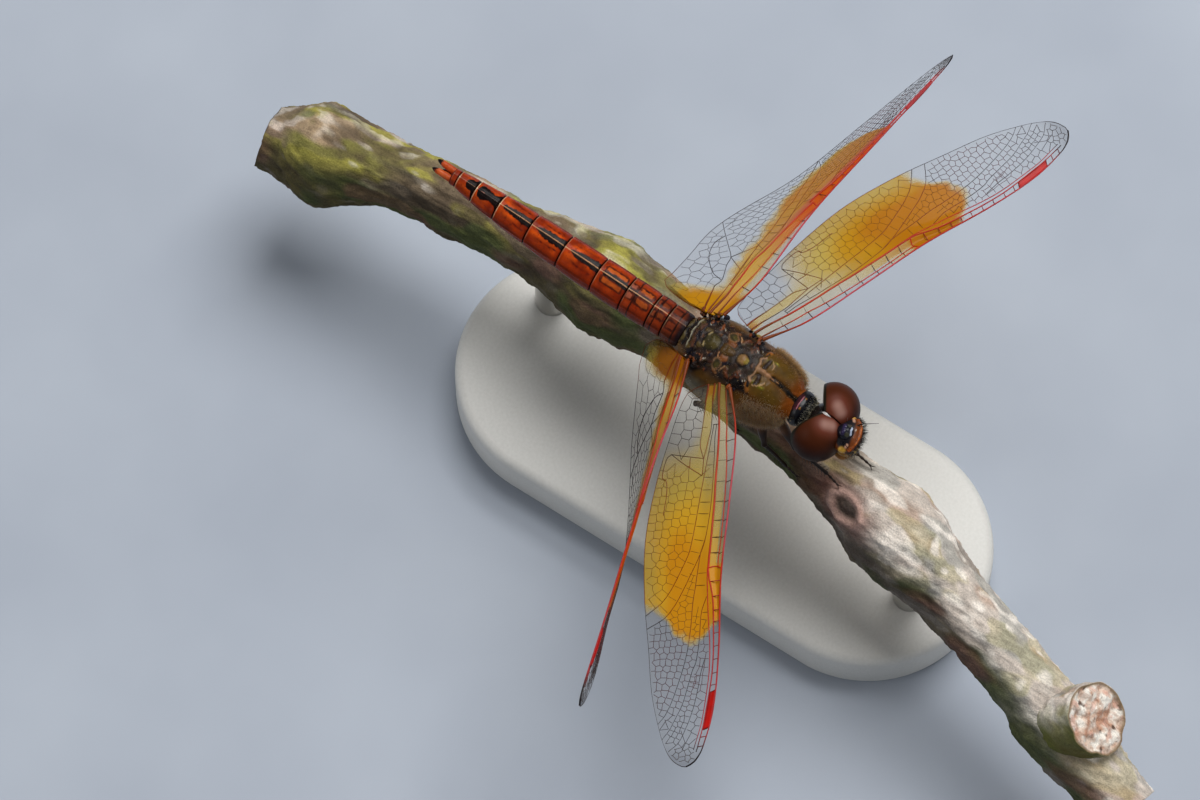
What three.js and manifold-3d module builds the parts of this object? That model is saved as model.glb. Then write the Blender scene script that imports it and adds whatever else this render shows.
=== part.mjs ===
// A male ditch jewel dragonfly (Brachythemis contaminata), life size, perched on a short cut
// length of branch that two rods hold over a flat base.
// Millimetres, +Z up. The animal faces -Y and its left side is +X. In the animal's own frame
// z = 0 is the level of its body axis; the origin of the whole part is under the base.
import * as THREE from 'three';
import { mergeVertices } from 'three/addons/utils/BufferGeometryUtils.js';
import Module from 'manifold-3d';

const wasm = await Module();
wasm.setup();

// ---------- driving dimensions ----------
const CLEARANCE = 0.04; // kept between neighbouring pieces
const BODY_HEIGHT = 20; // body axis above the floor
const LEAST_RADIUS = 0.25; // of feelers, feet and half a wing's thickness
const EVEN_RADIUS = [[0, LEAST_RADIUS], [1, LEAST_RADIUS]];

const EYE = {
  x: 0.9, y: -7.1, z: 1.2, across: 1.75, long: 1.665, high: 1.875, back: -6.95, sweep: 0.62,
};
const HEAD_BALLS = {
  head_capsule: { at: [0, -6.75, 0.5], radii: [1.25, 0.85, 1.6], around: 14, colour: 0x2a1c12 },
  head_vertex: { at: [-0.17, -8.45, 2.25], radii: [0.5, 0.5, 0.42], around: 10, colour: 0x17151a },
  head_frons: { at: [-0.17, -8.8, 1.75], radii: [1.15, 0.9, 0.75], around: 12, colour: 0xa8561c },
  head_clypeus: { at: [-0.17, -8.75, 0.85], radii: [1.05, 0.78, 0.5], around: 12, colour: 0x9c6428 },
  head_labrum: { at: [-0.15, -8.55, 0.08], radii: [1.05, 0.72, 0.5], around: 12, colour: 0x93602c },
  head_labium: { at: [0, -7.65, -0.65], radii: [1.15, 1.15, 0.55], around: 12, colour: 0x7a5428 },
};
const ANTENNAE = {
  antenna_left: { root: [0.5, -9.05, 2.05], tip: [1.22, -10.15, 2.8] },
  antenna_right: { root: [-0.85, -8.85, 2.05], tip: [-1.35, -9.75, 2.8] },
};
const PROTHORAX = { at: [0, -5.35, 0.95], radii: [1.2, 0.8, 1.05] };

// A profile lists places and the values there, and smooth() joins them.
// Thorax stations from front to rear: [y, half width, top, bottom].
const THORAX = [
  [-4.95, 1.15, 1.85, 0.35],
  [-4.3, 1.75, 2.45, -0.6],
  [-3.2, 2.2, 3.1, -1.35],
  [-1.5, 2.45, 3.35, -1.85],
  [0.5, 2.5, 3.3, -1.9],
  [2.2, 2.0, 3.15, -1.0],
  [3.3, 1.05, 2.7, 0.5],
];
// The abdomen's ten rings lie between these ends; it is widest at the fourth and rises a little.
const SEGMENT_ENDS = [3.05, 4.4, 5.5, 7.45, 9.6, 12.2, 14.7, 17.1, 18.85, 20.15, 20.55];
const ABDOMEN = {
  width: [[3.05, 2.3], [7.0, 2.5], [12.0, 2.36], [16.8, 1.9], [20.3, 1.14]],
  top: [[3.05, 3.05], [12.0, 3.35], [20.3, 3.7]],
  midline: [[3.05, 0.02], [12.0, 0.28], [20.3, 0.5]],
  heightPerWidth: 0.92,
  jointPinch: 0.045,
};
const CLASPERS = {
  apart: 0.28,
  below: 0.5,
  rise: 0.17,
  radii: [[0, 0.25], [0.5, 0.25], [1, 0.22]],
  cercus_left: { side: 1, drop: 0, length: 1.3 },
  cercus_right: { side: -1, drop: 0, length: 1.3 },
  epiproct: { side: 0, drop: 0.42, length: 0.85 },
};

// Wings. Planform distances are shares of the span, measured from the line hinge to tip; the
// pitch lowers the trailing edge and is listed from hinge to tip in degrees.
const FORE_PLAN = {
  lead: [
    [0, 0], [0.12, 0.031], [0.3, 0.035], [0.5, 0.034], [0.7, 0.049], [0.85, 0.05], [0.95, 0.031],
    [1, 0.004],
  ],
  trail: [
    [0, 0.115], [0.04, 0.135], [0.12, 0.155], [0.25, 0.179], [0.4, 0.188], [0.55, 0.17],
    [0.7, 0.138], [0.82, 0.113], [0.92, 0.077], [0.98, 0.047], [1, 0.004],
  ],
};
const HIND_PLAN = {
  lead: [
    [0, 0.02], [0.15, 0.041], [0.4, 0.02], [0.65, 0.025], [0.85, 0.029], [0.95, 0.025], [1, 0.004],
  ],
  trail: [
    [0, 0.189], [0.04, 0.193], [0.12, 0.215], [0.25, 0.27], [0.4, 0.295], [0.55, 0.267],
    [0.7, 0.214], [0.82, 0.154], [0.92, 0.093], [0.98, 0.035], [1, 0.004],
  ],
};
const WINGS = {
  forewing_left: {
    plan: FORE_PLAN,
    hinge: [1.8, -1.3, 2.9],
    span: [22.65, -8.27, -1.5],
    pitch: [16, 15, 8, -1, -8],
  },
  forewing_right: {
    plan: FORE_PLAN,
    hinge: [-1.8, -1.3, 2.9],
    span: [-21.49, -10.7, -1.5],
    pitch: [26, 24, 20, 15, 8],
  },
  hindwing_left: {
    plan: HIND_PLAN,
    hinge: [1.9, 2.0, 2.8],
    span: [22.84, -2.88, -1.0],
    pitch: [16, 40, 56, 60, 60],
  },
  hindwing_right: {
    plan: HIND_PLAN,
    hinge: [-1.9, 2.0, 2.8],
    span: [-21.76, -6.51, -1.0],
    pitch: [47, 72, 84, 87, 97],
  },
};

// Legs: hip and knee in the animal's frame; the foot is a place on the bark, told by its
// place along the branch and its angle from the top toward the animal's left, in degrees.
const LEGS = {
  foreleg_left: { hip: [0.6, -4.0, -0.75], knee: [1.65, -5.8, -2.8], foot: [-8.5, 30] },
  foreleg_right: { hip: [-0.6, -4.0, -0.75], knee: [-1.15, -5.75, -2.9], foot: [-8.0, -24] },
  midleg_left: { hip: [0.85, -2.9, -1.4], knee: [2.5, -3.9, -3.1], foot: [-6.0, 60] },
  midleg_right: { hip: [-0.85, -2.9, -1.4], knee: [-1.9, -4.0, -3.3], foot: [-5.6, -60] },
  hindleg_left: { hip: [0.95, -1.7, -1.75], knee: [2.6, 0.9, -3.2], foot: [-1.4, 62] },
  hindleg_right: { hip: [-0.95, -1.7, -1.75], knee: [-1.9, 1.1, -3.4], foot: [-0.9, -64] },
};
const FEMUR_RADII = [[0, 0.34], [0.35, 0.36], [0.8, 0.27], [1, 0.25]];
const TIBIA_RADII = [[0, 0.25], [0.5, 0.26], [1, 0.25]];
const TARSUS_REACH = 1.0;

// The branch runs along Y in the animal's frame: its axis, then its girth with the swellings at
// old twig scars, each [place, extra radius, reach].
const PERCH = {
  rear: 35,
  front: -34.5,
  x: [[-34.5, -7.35], [-20.6, -3.0], [-8.7, 0.05], [0, 1.35], [8.3, 2.9], [24.7, 2.5], [35, 1.05]],
  z: [[-34.5, -12.0], [-20.6, -9.1], [-8.7, -7.3], [8.3, -7.1], [24.7, -8.6], [35, -11.0]],
  radius: 2.1,
  swellings: [[-28.4, 0.3, 2.5], [-13.4, 0.95, 3.3], [10.3, 1.1, 4.0], [31, 1.2, 2.6]],
};
const STUB = { root: [-5.3, -27.8, -10.55], face: [-4.56, -30.19, -7.5], radius: 2.4 };

const BASE = { length: 38, height: 4, corner: 8, bevel: 0.6 };
const ROD = { radius: 1.1, y: [15, -15] };

// ---------- shape helpers ----------
/** The value at t of a smooth line through [place, value] knots. */
function smooth(knots, t) {
  let i = 0;
  while (i < knots.length - 2 && t > knots[i + 1][0]) i += 1;
  const slope = (k) => {
    const a = knots[Math.max(k - 1, 0)];
    const b = knots[Math.min(k + 1, knots.length - 1)];
    return (b[1] - a[1]) / (b[0] - a[0]);
  };
  const [[t0, v0], [t1, v1]] = [knots[i], knots[i + 1]];
  const h = t1 - t0;
  const s = THREE.MathUtils.clamp((t - t0) / h, 0, 1);
  const rise = s * s * (3 - 2 * s);
  return v0 * (1 - rise) + v1 * rise + h * s * (1 - s) * ((1 - s) * slope(i) - s * slope(i + 1));
}

/** Moves every vertex of a closed base geometry by place(point), and keeps its faces outward. */
function mould(base, place) {
  base.deleteAttribute('normal');
  base.deleteAttribute('uv');
  const geometry = mergeVertices(base, 1e-4);
  const position = geometry.getAttribute('position');
  const point = new THREE.Vector3();
  for (let i = 0; i < position.count; i += 1) {
    const moved = place(point.fromBufferAttribute(position, i));
    position.setXYZ(i, moved.x, moved.y, moved.z);
  }
  return volume(geometry) < 0 ? flipped(geometry) : geometry;
}

function volume(geometry) {
  const position = geometry.getAttribute('position');
  const corner = (k) => new THREE.Vector3().fromBufferAttribute(position, geometry.index.getX(k));
  let sum = 0;
  for (let k = 0; k < geometry.index.count; k += 3) {
    sum += corner(k).dot(corner(k + 1).cross(corner(k + 2))) / 6;
  }
  return sum;
}

function flipped(geometry) {
  const index = Array.from(geometry.index.array);
  for (let k = 0; k < index.length; k += 3) {
    [index[k + 1], index[k + 2]] = [index[k + 2], index[k + 1]];
  }
  geometry.setIndex(index);
  return geometry;
}

/** A tube of rings: section(t) gives the centre, the two directions and the radii along them. */
function ringed(rings, around, section) {
  return mould(new THREE.CylinderGeometry(1, 1, 1, around, rings), (p) => {
    const { centre, side, up, wide, high, low } = section(p.y + 0.5);
    const upright = p.z > 0 ? high : low;
    return centre.clone().addScaledVector(side, p.x * wide).addScaledVector(up, p.z * upright);
  });
}

/** An ellipsoid about a centre. */
function ball({ at, radii, around }, grow = 0) {
  const sphere = new THREE.SphereGeometry(1, around, Math.round(around * 0.55));
  return mould(sphere, (p) => new THREE.Vector3(
    at[0] + p.x * (radii[0] + grow),
    at[1] + p.z * (radii[1] + grow),
    at[2] + p.y * (radii[2] + grow),
  ));
}

/** A straight limb from one point to another, its radius following a profile of its length. */
function limb(from, to, radii, around, grow = 0) {
  const start = new THREE.Vector3(...from);
  const along = new THREE.Vector3(...to).sub(start);
  const length = along.length();
  along.normalize();
  const side = new THREE.Vector3(0, 0, 1).cross(along).normalize();
  const up = along.clone().cross(side);
  const stations = [0, 0.05, 0.5, 0.95, 1];
  return ringed(stations.length - 1, around, (t) => {
    const share = stations[Math.round(t * (stations.length - 1))];
    const capped = share === 0 || share === 1 ? 0.6 : 1;
    const radius = smooth(radii, share) * capped + grow;
    const centre = start.clone().addScaledVector(along, share * (length + 2 * grow) - grow);
    return { centre, side, up, wide: radius, high: radius, low: radius };
  });
}

function toSolid(geometry) {
  return new wasm.Manifold(new wasm.Mesh({
    numProp: 3,
    vertProperties: new Float32Array(geometry.getAttribute('position').array),
    triVerts: new Uint32Array(geometry.index.array),
  }));
}

function toGeometry(solid) {
  const mesh = solid.getMesh();
  const geometry = new THREE.BufferGeometry();
  geometry.setAttribute('position', new THREE.BufferAttribute(mesh.vertProperties, 3));
  geometry.setIndex(new THREE.BufferAttribute(mesh.triVerts, 1));
  return geometry;
}

/** shape less every neighbour, each given as a function that grows it by the clearance. */
function carved(shape, neighbours) {
  let solid = toSolid(shape);
  for (const neighbour of neighbours) solid = solid.subtract(toSolid(neighbour(CLEARANCE)));
  return toGeometry(solid);
}

function named(name, geometry, { colour, roughness = 0.6, metalness = 0 }) {
  const material = new THREE.MeshStandardMaterial({ color: colour, roughness, metalness });
  const mesh = new THREE.Mesh(geometry, material);
  mesh.name = name;
  return mesh;
}

// ---------- the animal ----------
const X = new THREE.Vector3(1, 0, 0);
const Z = new THREE.Vector3(0, 0, 1);

/** The fused second and third thoracic rings, deepest behind the legs and blunt in front. */
function thorax(grow = 0) {
  const profile = (column) => THORAX.map((station) => [station[0], station[column]]);
  const [halfWidth, tops, bottoms] = [profile(1), profile(2), profile(3)];
  const front = THORAX[0][0] - grow;
  const rear = THORAX[THORAX.length - 1][0] + grow;
  return ringed(10, 18, (t) => {
    const y = THREE.MathUtils.lerp(front, rear, (1 - Math.cos(Math.PI * t)) / 2);
    const top = smooth(tops, y) + grow;
    const bottom = smooth(bottoms, y) - grow;
    const level = (bottom + top) / 2;
    const wide = smooth(halfWidth, y) + grow;
    const centre = new THREE.Vector3(0, y, level);
    return { centre, side: X, up: Z, wide, high: top - level, low: level - bottom };
  });
}

/** One eye: an ellipsoid cut where it meets its fellow, and behind where it hugs the head. */
function eye(side, grow = 0) {
  return mould(new THREE.SphereGeometry(1, 14, 8), (p) => {
    const x = Math.max(EYE.x + p.x * (EYE.across + grow), CLEARANCE / 2);
    const back = EYE.back + EYE.sweep * x + grow;
    return new THREE.Vector3(
      side * x,
      Math.min(EYE.y + p.z * (EYE.long + grow), back),
      EYE.z + p.y * (EYE.high + grow),
    );
  });
}

/** One ring of the abdomen between two ends, barrel shaped so that the joints show as waists. */
function segment(start, end) {
  const axis = (y) => {
    const wide = smooth(ABDOMEN.width, y) / 2;
    const high = wide * ABDOMEN.heightPerWidth;
    return { wide, high, x: smooth(ABDOMEN.midline, y), z: smooth(ABDOMEN.top, y) - high };
  };
  return ringed(3, 14, (t) => {
    const y = THREE.MathUtils.lerp(start + CLEARANCE / 2, end - CLEARANCE / 2, t);
    const { wide, high, x, z } = axis(y);
    const waist = 1 - ABDOMEN.jointPinch * (2 * t - 1) ** 4;
    const centre = new THREE.Vector3(x, y, z);
    return { centre, side: X, up: Z, wide: wide * waist, high: high * waist, low: high * waist };
  });
}

/** The point of a wing at span share u and chord share v (0 leading, 1 trailing), h above it. */
function wingPoint({ plan, hinge, span, pitch }, u, v, h) {
  const reach = new THREE.Vector3(...span);
  const length = reach.length();
  const along = reach.clone().normalize();
  const back = new THREE.Vector3(0, 1, 0).addScaledVector(along, -along.y).normalize();
  const up = new THREE.Vector3().crossVectors(back, along);
  if (up.z < 0) up.negate();
  const knots = pitch.map((angle, i) => [i / (pitch.length - 1), THREE.MathUtils.degToRad(angle)]);
  const angle = smooth(knots, u);
  const chord = back.clone().multiplyScalar(Math.cos(angle)).addScaledVector(up, -Math.sin(angle));
  const normal = back.clone().multiplyScalar(Math.sin(angle)).addScaledVector(up, Math.cos(angle));
  const lead = -smooth(plan.lead, u) * length;
  const trail = smooth(plan.trail, u) * length;
  const across = THREE.MathUtils.lerp(lead, trail, v);
  const onSpan = new THREE.Vector3(...hinge).addScaledVector(reach, u);
  return onSpan.addScaledVector(chord, across).addScaledVector(normal, h);
}

function wing(spec) {
  const box = new THREE.BoxGeometry(1, 1, 2 * LEAST_RADIUS, 20, 4, 1);
  return mould(box, (p) => {
    const u = Math.sin(((p.x + 0.5) * Math.PI) / 2) ** 1.25;
    return wingPoint(spec, u, p.y + 0.5, p.z);
  });
}

// ---------- the perch ----------
/** Centre, tangent frame and radius of the branch at y. */
function perchAt(y) {
  const centre = new THREE.Vector3(smooth(PERCH.x, y), y, smooth(PERCH.z, y));
  const step = 0.2;
  const ahead = new THREE.Vector3(smooth(PERCH.x, y + step), y + step, smooth(PERCH.z, y + step));
  const along = ahead.sub(centre).normalize();
  const side = along.clone().cross(Z).normalize();
  const up = side.clone().cross(along);
  const swell = ([at, extra, reach]) => extra * Math.exp(-(((y - at) / reach) ** 2));
  const radius = PERCH.swellings.reduce((sum, one) => sum + swell(one), PERCH.radius);
  return { centre, side, up, radius };
}

/** A point over the bark: y along the branch, degrees from the top toward +X, lift off it. */
function onBark([y, degrees], lift) {
  const { centre, side, up, radius } = perchAt(y);
  const angle = THREE.MathUtils.degToRad(degrees);
  centre.addScaledVector(side, Math.sin(angle) * (radius + lift));
  return centre.addScaledVector(up, Math.cos(angle) * (radius + lift));
}

function branch(grow = 0) {
  const length = ringed(28, 12, (t) => {
    const y = THREE.MathUtils.lerp(PERCH.front - grow, PERCH.rear + grow, t);
    const { centre, side, up, radius } = perchAt(y);
    return { centre, side, up, wide: radius + grow, high: radius + grow, low: radius + grow };
  });
  const twig = limb(STUB.root, STUB.face, [[0, STUB.radius], [1, STUB.radius / 0.93]], 14, grow);
  return toGeometry(toSolid(length).add(toSolid(twig)));
}

// ---------- assembly ----------
const animal = new THREE.Group();
animal.position.z = BODY_HEIGHT;

const headBall = (name) => (grow) => ball(HEAD_BALLS[name], grow);
const eyes = [1, -1].map((side) => (grow) => eye(side, grow));
const headSoFar = [];
for (const [name, spec] of Object.entries(HEAD_BALLS)) {
  animal.add(named(name, carved(ball(spec), headSoFar), { colour: spec.colour, roughness: 0.4 }));
  headSoFar.push(headBall(name));
}
animal.add(named('eye_left', carved(eye(1), headSoFar), { colour: 0x3a1409, roughness: 0.15 }));
animal.add(named('eye_right', carved(eye(-1), headSoFar), { colour: 0x3a1409, roughness: 0.15 }));

for (const [name, { root, tip }] of Object.entries(ANTENNAE)) {
  animal.add(named(name, carved(limb(root, tip, EVEN_RADIUS, 6), headSoFar), { colour: 0x141014 }));
}

const neck = ball({ ...PROTHORAX, around: 12 });
animal.add(named('prothorax', carved(neck, [thorax, ...headSoFar, ...eyes]), { colour: 0x1c1a16 }));
animal.add(named('thorax', thorax(), { colour: 0x7a5420, roughness: 0.55 }));

for (let i = 0; i < SEGMENT_ENDS.length - 1; i += 1) {
  const ring = segment(SEGMENT_ENDS[i], SEGMENT_ENDS[i + 1]);
  const first = i === 0 ? carved(ring, [thorax]) : ring;
  animal.add(named(`abdomen_s${i + 1}`, first, { colour: 0xb43c10, roughness: 0.35 }));
}
/** One of the three pointed claspers of the tail, side by side above the middle one. */
function clasper({ side, drop, length }, grow = 0) {
  const y = SEGMENT_ENDS[SEGMENT_ENDS.length - 1] + CLEARANCE;
  const x = smooth(ABDOMEN.midline, y) + side * CLASPERS.apart;
  const z = smooth(ABDOMEN.top, y) - CLASPERS.below - drop;
  return limb([x, y, z], [x, y + length, z + length * CLASPERS.rise], CLASPERS.radii, 8, grow);
}
animal.add(named('epiproct', clasper(CLASPERS.epiproct), { colour: 0x9a3a12, roughness: 0.4 }));
for (const name of ['cercus_left', 'cercus_right']) {
  const hook = carved(clasper(CLASPERS[name]), [(grow) => clasper(CLASPERS.epiproct, grow)]);
  animal.add(named(name, hook, { colour: 0x9a3a12, roughness: 0.4 }));
}

for (const [name, spec] of Object.entries(WINGS)) {
  animal.add(named(name, carved(wing(spec), [thorax]), { colour: 0xc88a2c, roughness: 0.3 }));
}

for (const [name, { hip, knee, foot }] of Object.entries(LEGS)) {
  const ankle = onBark(foot, LEAST_RADIUS + 2 * CLEARANCE).toArray();
  const toe = onBark([foot[0] - TARSUS_REACH, foot[1]], LEAST_RADIUS + 2 * CLEARANCE).toArray();
  const femur = (grow) => limb(hip, knee, FEMUR_RADII, 8, grow);
  const tibia = (grow) => limb(knee, ankle, TIBIA_RADII, 8, grow);
  const tarsus = limb(ankle, toe, EVEN_RADIUS, 6);
  const legColour = { colour: 0x2b1a10, roughness: 0.45 };
  animal.add(named(`${name}_femur`, carved(femur(0), [thorax]), legColour));
  animal.add(named(`${name}_tibia`, carved(tibia(0), [femur, branch]), legColour));
  animal.add(named(`${name}_tarsus`, carved(tarsus, [tibia, branch]), legColour));
}
animal.add(named('perch_branch', branch(), { colour: 0x857a66, roughness: 0.9 }));

// ---------- the display stand ----------
const stand = new THREE.Group();
const outline = new THREE.Shape();
const straight = BASE.length / 2 - BASE.corner;
const inset = BASE.corner - BASE.bevel;
outline.absarc(0, straight, inset, 0, Math.PI, false);
outline.absarc(0, -straight, inset, Math.PI, 2 * Math.PI, false);
const slab = new THREE.ExtrudeGeometry(outline, {
  depth: BASE.height - 2 * BASE.bevel,
  bevelEnabled: true,
  bevelSize: BASE.bevel,
  bevelThickness: BASE.bevel,
  bevelSegments: 1,
  curveSegments: 8,
});
const plate = mould(slab, (p) => new THREE.Vector3(p.x, p.y, p.z + BASE.bevel));
stand.add(named('stand_base', plate, { colour: 0xe4e2dc, roughness: 0.5 }));

const branchInPlace = (grow) => branch(grow).translate(0, 0, BODY_HEIGHT);
ROD.y.forEach((y, i) => {
  const { centre } = perchAt(y);
  const low = BASE.height + CLEARANCE;
  const high = centre.z + BODY_HEIGHT;
  const post = mould(new THREE.CylinderGeometry(ROD.radius, ROD.radius, high - low, 20), (p) => (
    new THREE.Vector3(centre.x + p.x, y + p.z, (low + high) / 2 + p.y)
  ));
  const steel = { colour: 0xc9c9c6, roughness: 0.3, metalness: 0.9 };
  stand.add(named(`stand_rod_${i + 1}`, carved(post, [branchInPlace]), steel));
});

const part = new THREE.Group();
part.add(animal, stand);
export default part;
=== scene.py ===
"""A male ditch jewel dragonfly (Brachythemis contaminata) on a cut branch over a plain stand.

The animal faces -Y with its left side toward +X. Shapes are worked out in millimetres in its own
frame, whose zero level is the body's axis, and are lifted onto the stand when they become pieces.
"""
import itertools
import math

import bpy
import numpy as np
from mathutils import Matrix, Vector
from mathutils.geometry import delaunay_2d_cdt


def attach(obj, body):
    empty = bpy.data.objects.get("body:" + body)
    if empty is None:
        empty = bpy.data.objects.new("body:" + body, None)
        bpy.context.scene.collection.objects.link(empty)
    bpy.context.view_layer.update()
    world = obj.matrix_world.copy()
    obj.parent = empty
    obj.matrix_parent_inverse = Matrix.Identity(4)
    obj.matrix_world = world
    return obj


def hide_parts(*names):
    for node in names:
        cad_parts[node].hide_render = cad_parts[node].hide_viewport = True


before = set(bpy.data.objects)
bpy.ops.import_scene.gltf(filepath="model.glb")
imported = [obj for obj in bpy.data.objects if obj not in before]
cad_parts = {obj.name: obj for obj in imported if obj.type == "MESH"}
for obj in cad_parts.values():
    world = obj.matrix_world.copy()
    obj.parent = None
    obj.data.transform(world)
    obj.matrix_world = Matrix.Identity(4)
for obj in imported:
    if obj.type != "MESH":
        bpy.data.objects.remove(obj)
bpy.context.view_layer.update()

# ---- Camera, floor and lights ----
# A studio table: the camera looks steeply down from the animal's right front, the floor is plain
# and pale, and one broad overhead softbox with two weak fills leaves only soft shadows.
MM = 0.001
AIM = Vector((-6.67, 5.07, 22.27))  # middle of the view
BEARING, HEIGHT = math.radians(-57), math.radians(70)
DISTANCE = 420
VIEW_WIDTH = 73.62  # seen at the aim point

right = Vector((math.cos(BEARING), math.sin(BEARING), 0))
back = Vector((math.sin(BEARING) * math.cos(HEIGHT), -math.cos(BEARING) * math.cos(HEIGHT), math.sin(HEIGHT)))
above = back.cross(right)
camera = bpy.data.objects.new("camera", bpy.data.cameras.new("camera"))
bpy.context.scene.collection.objects.link(camera)
turn = Matrix((right, above, back)).transposed().to_4x4()
camera.matrix_world = Matrix.Translation((AIM + back * DISTANCE) * MM) @ turn
camera.data.sensor_width = 36
camera.data.lens = 36 * DISTANCE / VIEW_WIDTH
camera.data.clip_start = 0.01
bpy.context.scene.camera = camera
bpy.context.scene.view_settings.view_transform = "Standard"


def srgb(code):
    """The linear colour of a six-figure sRGB hex code, with full alpha."""
    channels = [int(code[i:i + 2], 16) / 255 for i in (0, 2, 4)]
    return tuple(c / 12.92 if c <= 0.04045 else ((c + 0.055) / 1.055) ** 2.4 for c in channels) + (1,)


def add_node(tree, kind, inputs=None, stops=None, **settings):
    """Adds a shader node: settings are its own properties, inputs are values or sockets by name,
    and stops are the places and colours of a colour ramp."""
    made = tree.nodes.new("ShaderNode" + kind)
    for name, value in settings.items():
        setattr(made, name, value)
    for name, value in (inputs or {}).items():
        if isinstance(value, bpy.types.NodeSocket):
            tree.links.new(value, made.inputs[name])
        else:
            made.inputs[name].default_value = value
    if stops:
        elements = made.color_ramp.elements
        while len(elements) < len(stops):
            elements.new(0.5)
        for element, (place, colour) in zip(elements, stops):
            element.position, element.color = place, srgb(colour)
    return made


def new_finish(name):
    """An empty material: the material, its node tree and its output node."""
    material = bpy.data.materials.new(name)
    material.use_nodes = True
    material.node_tree.nodes.clear()
    output = material.node_tree.nodes.new("ShaderNodeOutputMaterial")
    return material, material.node_tree, output


# Pale grey studio paper: matt, with a trace of fibre in its tone.
paper, tree, output = new_finish("studio_paper")
place = add_node(tree, "TexCoord").outputs["Object"]
fibre = add_node(tree, "TexNoise", {"Vector": place, "Scale": 60.0, "Detail": 3.0})
tone = add_node(tree, "ValToRGB", {"Fac": fibre.outputs["Fac"]},
                stops=[(0.3, "a9b0bb"), (0.7, "b3bac4")])
shader = add_node(tree, "BsdfPrincipled", {"Base Color": tone.outputs["Color"], "Roughness": 0.9})
tree.links.new(shader.outputs[0], output.inputs[0])

floor_mesh = bpy.data.meshes.new("floor")
reach = 3.0
floor_mesh.from_pydata([(-reach, -reach, 0), (reach, -reach, 0), (reach, reach, 0), (-reach, reach, 0)],
                       [], [(0, 1, 2, 3)])
floor_mesh.materials.append(paper)
floor = bpy.data.objects.new("floor", floor_mesh)
bpy.context.scene.collection.objects.link(floor)

world = bpy.data.worlds.new("studio")
world.use_nodes = True
world.node_tree.nodes["Background"].inputs["Color"].default_value = srgb("dfe6f0")
world.node_tree.nodes["Background"].inputs["Strength"].default_value = 0.2
bpy.context.scene.world = world

# Name, place and size in metres, power in watts. Each faces the animal.
ANIMAL_SPOT = Vector((0, 0, 0.02))
SOFTBOXES = [
    ("overhead", (0.24, 0.02, 0.52), 0.40, 3.0),
    ("fill_rear", (-0.45, 0.40, 0.35), 0.40, 0.7),
    ("fill_front", (0.20, -0.55, 0.30), 0.40, 0.6),
]
for name, spot, size, power in SOFTBOXES:
    lamp = bpy.data.objects.new(name, bpy.data.lights.new(name, "AREA"))
    lamp.data.shape, lamp.data.size, lamp.data.energy = "DISK", size, power
    lamp.location = spot
    lamp.rotation_euler = (ANIMAL_SPOT - Vector(spot)).to_track_quat("-Z", "Y").to_euler()
    bpy.context.scene.collection.objects.link(lamp)


# ---- The branch ----
# A dead twig about as thick as a drinking straw, its grey bark wrinkled lengthwise and crusted
# with lichen. It swells at old leaf scars, one side twig is snapped off to a stub, and
# each end of the kept length is a plain saw cut.
BODY_HEIGHT = 20.0  # the animal's zero level over the floor
PERCH = {
    "rear": 35.0,
    "front": -34.5,
    "x": [[-34.5, -7.35], [-20.6, -3.0], [-8.7, 0.05], [0, 1.35], [8.3, 2.9], [24.7, 2.5], [35, 1.05]],
    "z": [[-34.5, -12.0], [-20.6, -9.1], [-8.7, -7.3], [8.3, -7.1], [24.7, -8.6], [35, -11.0]],
    "radius": 2.1,
    "swellings": [[-28.4, 0.3, 2.5], [-13.4, 0.95, 3.3], [10.3, 1.1, 4.0], [31, 1.2, 2.6]],
}
SCAR = {"y": -10.3, "turn": -0.72, "half_length": 1.25, "half_width": 0.75}  # turn from the top, in radians
STUB = {"root": [-5.3, -27.8, -10.55], "face": [-4.56, -30.19, -7.5], "radius": 2.4}


def smooth(knots, at):
    """Values of the smooth line through (place, value) knots: between two knots a cubic whose
    slope at each is that of the straight line between its neighbours."""
    place, value = np.array(knots, float).T
    slope = np.gradient(value, place) if len(place) == 2 else np.empty_like(value)
    if len(place) > 2:
        slope[1:-1] = (value[2:] - value[:-2]) / (place[2:] - place[:-2])
        slope[0] = (value[1] - value[0]) / (place[1] - place[0])
        slope[-1] = (value[-1] - value[-2]) / (place[-1] - place[-2])
    at = np.asarray(at, float)
    i = np.clip(np.searchsorted(place, at) - 1, 0, len(place) - 2)
    gap = place[i + 1] - place[i]
    s = np.clip((at - place[i]) / gap, 0, 1)
    rise = s * s * (3 - 2 * s)
    bend = gap * s * (1 - s) * ((1 - s) * slope[i] - s * slope[i + 1])
    return value[i] * (1 - rise) + value[i + 1] * rise + bend


def step(low, high, at):
    """0 below low, 1 above high, and a smooth climb between them."""
    s = np.clip((np.asarray(at, float) - low) / (high - low), 0, 1)
    return s * s * (3 - 2 * s)


def unit(vectors):
    """Each vector divided by its length."""
    return vectors / np.linalg.norm(vectors, axis=-1, keepdims=True)


def swirl(points, grain, seed):
    """Smooth random numbers between -1 and 1: random values at the corners of cubes of side
    grain, blended inside each cube."""
    table = np.random.default_rng(seed).uniform(-1, 1, (64, 64, 64))
    scaled = points / grain
    low = np.floor(scaled).astype(int)
    part = scaled - low
    part = part * part * (3 - 2 * part)
    total = 0
    for corner in itertools.product((0, 1), repeat=3):
        weight = np.prod(np.where(corner, part, 1 - part), axis=-1)
        total = total + weight * table[tuple((low[..., k] + corner[k]) % 64 for k in range(3))]
    return total


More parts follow.
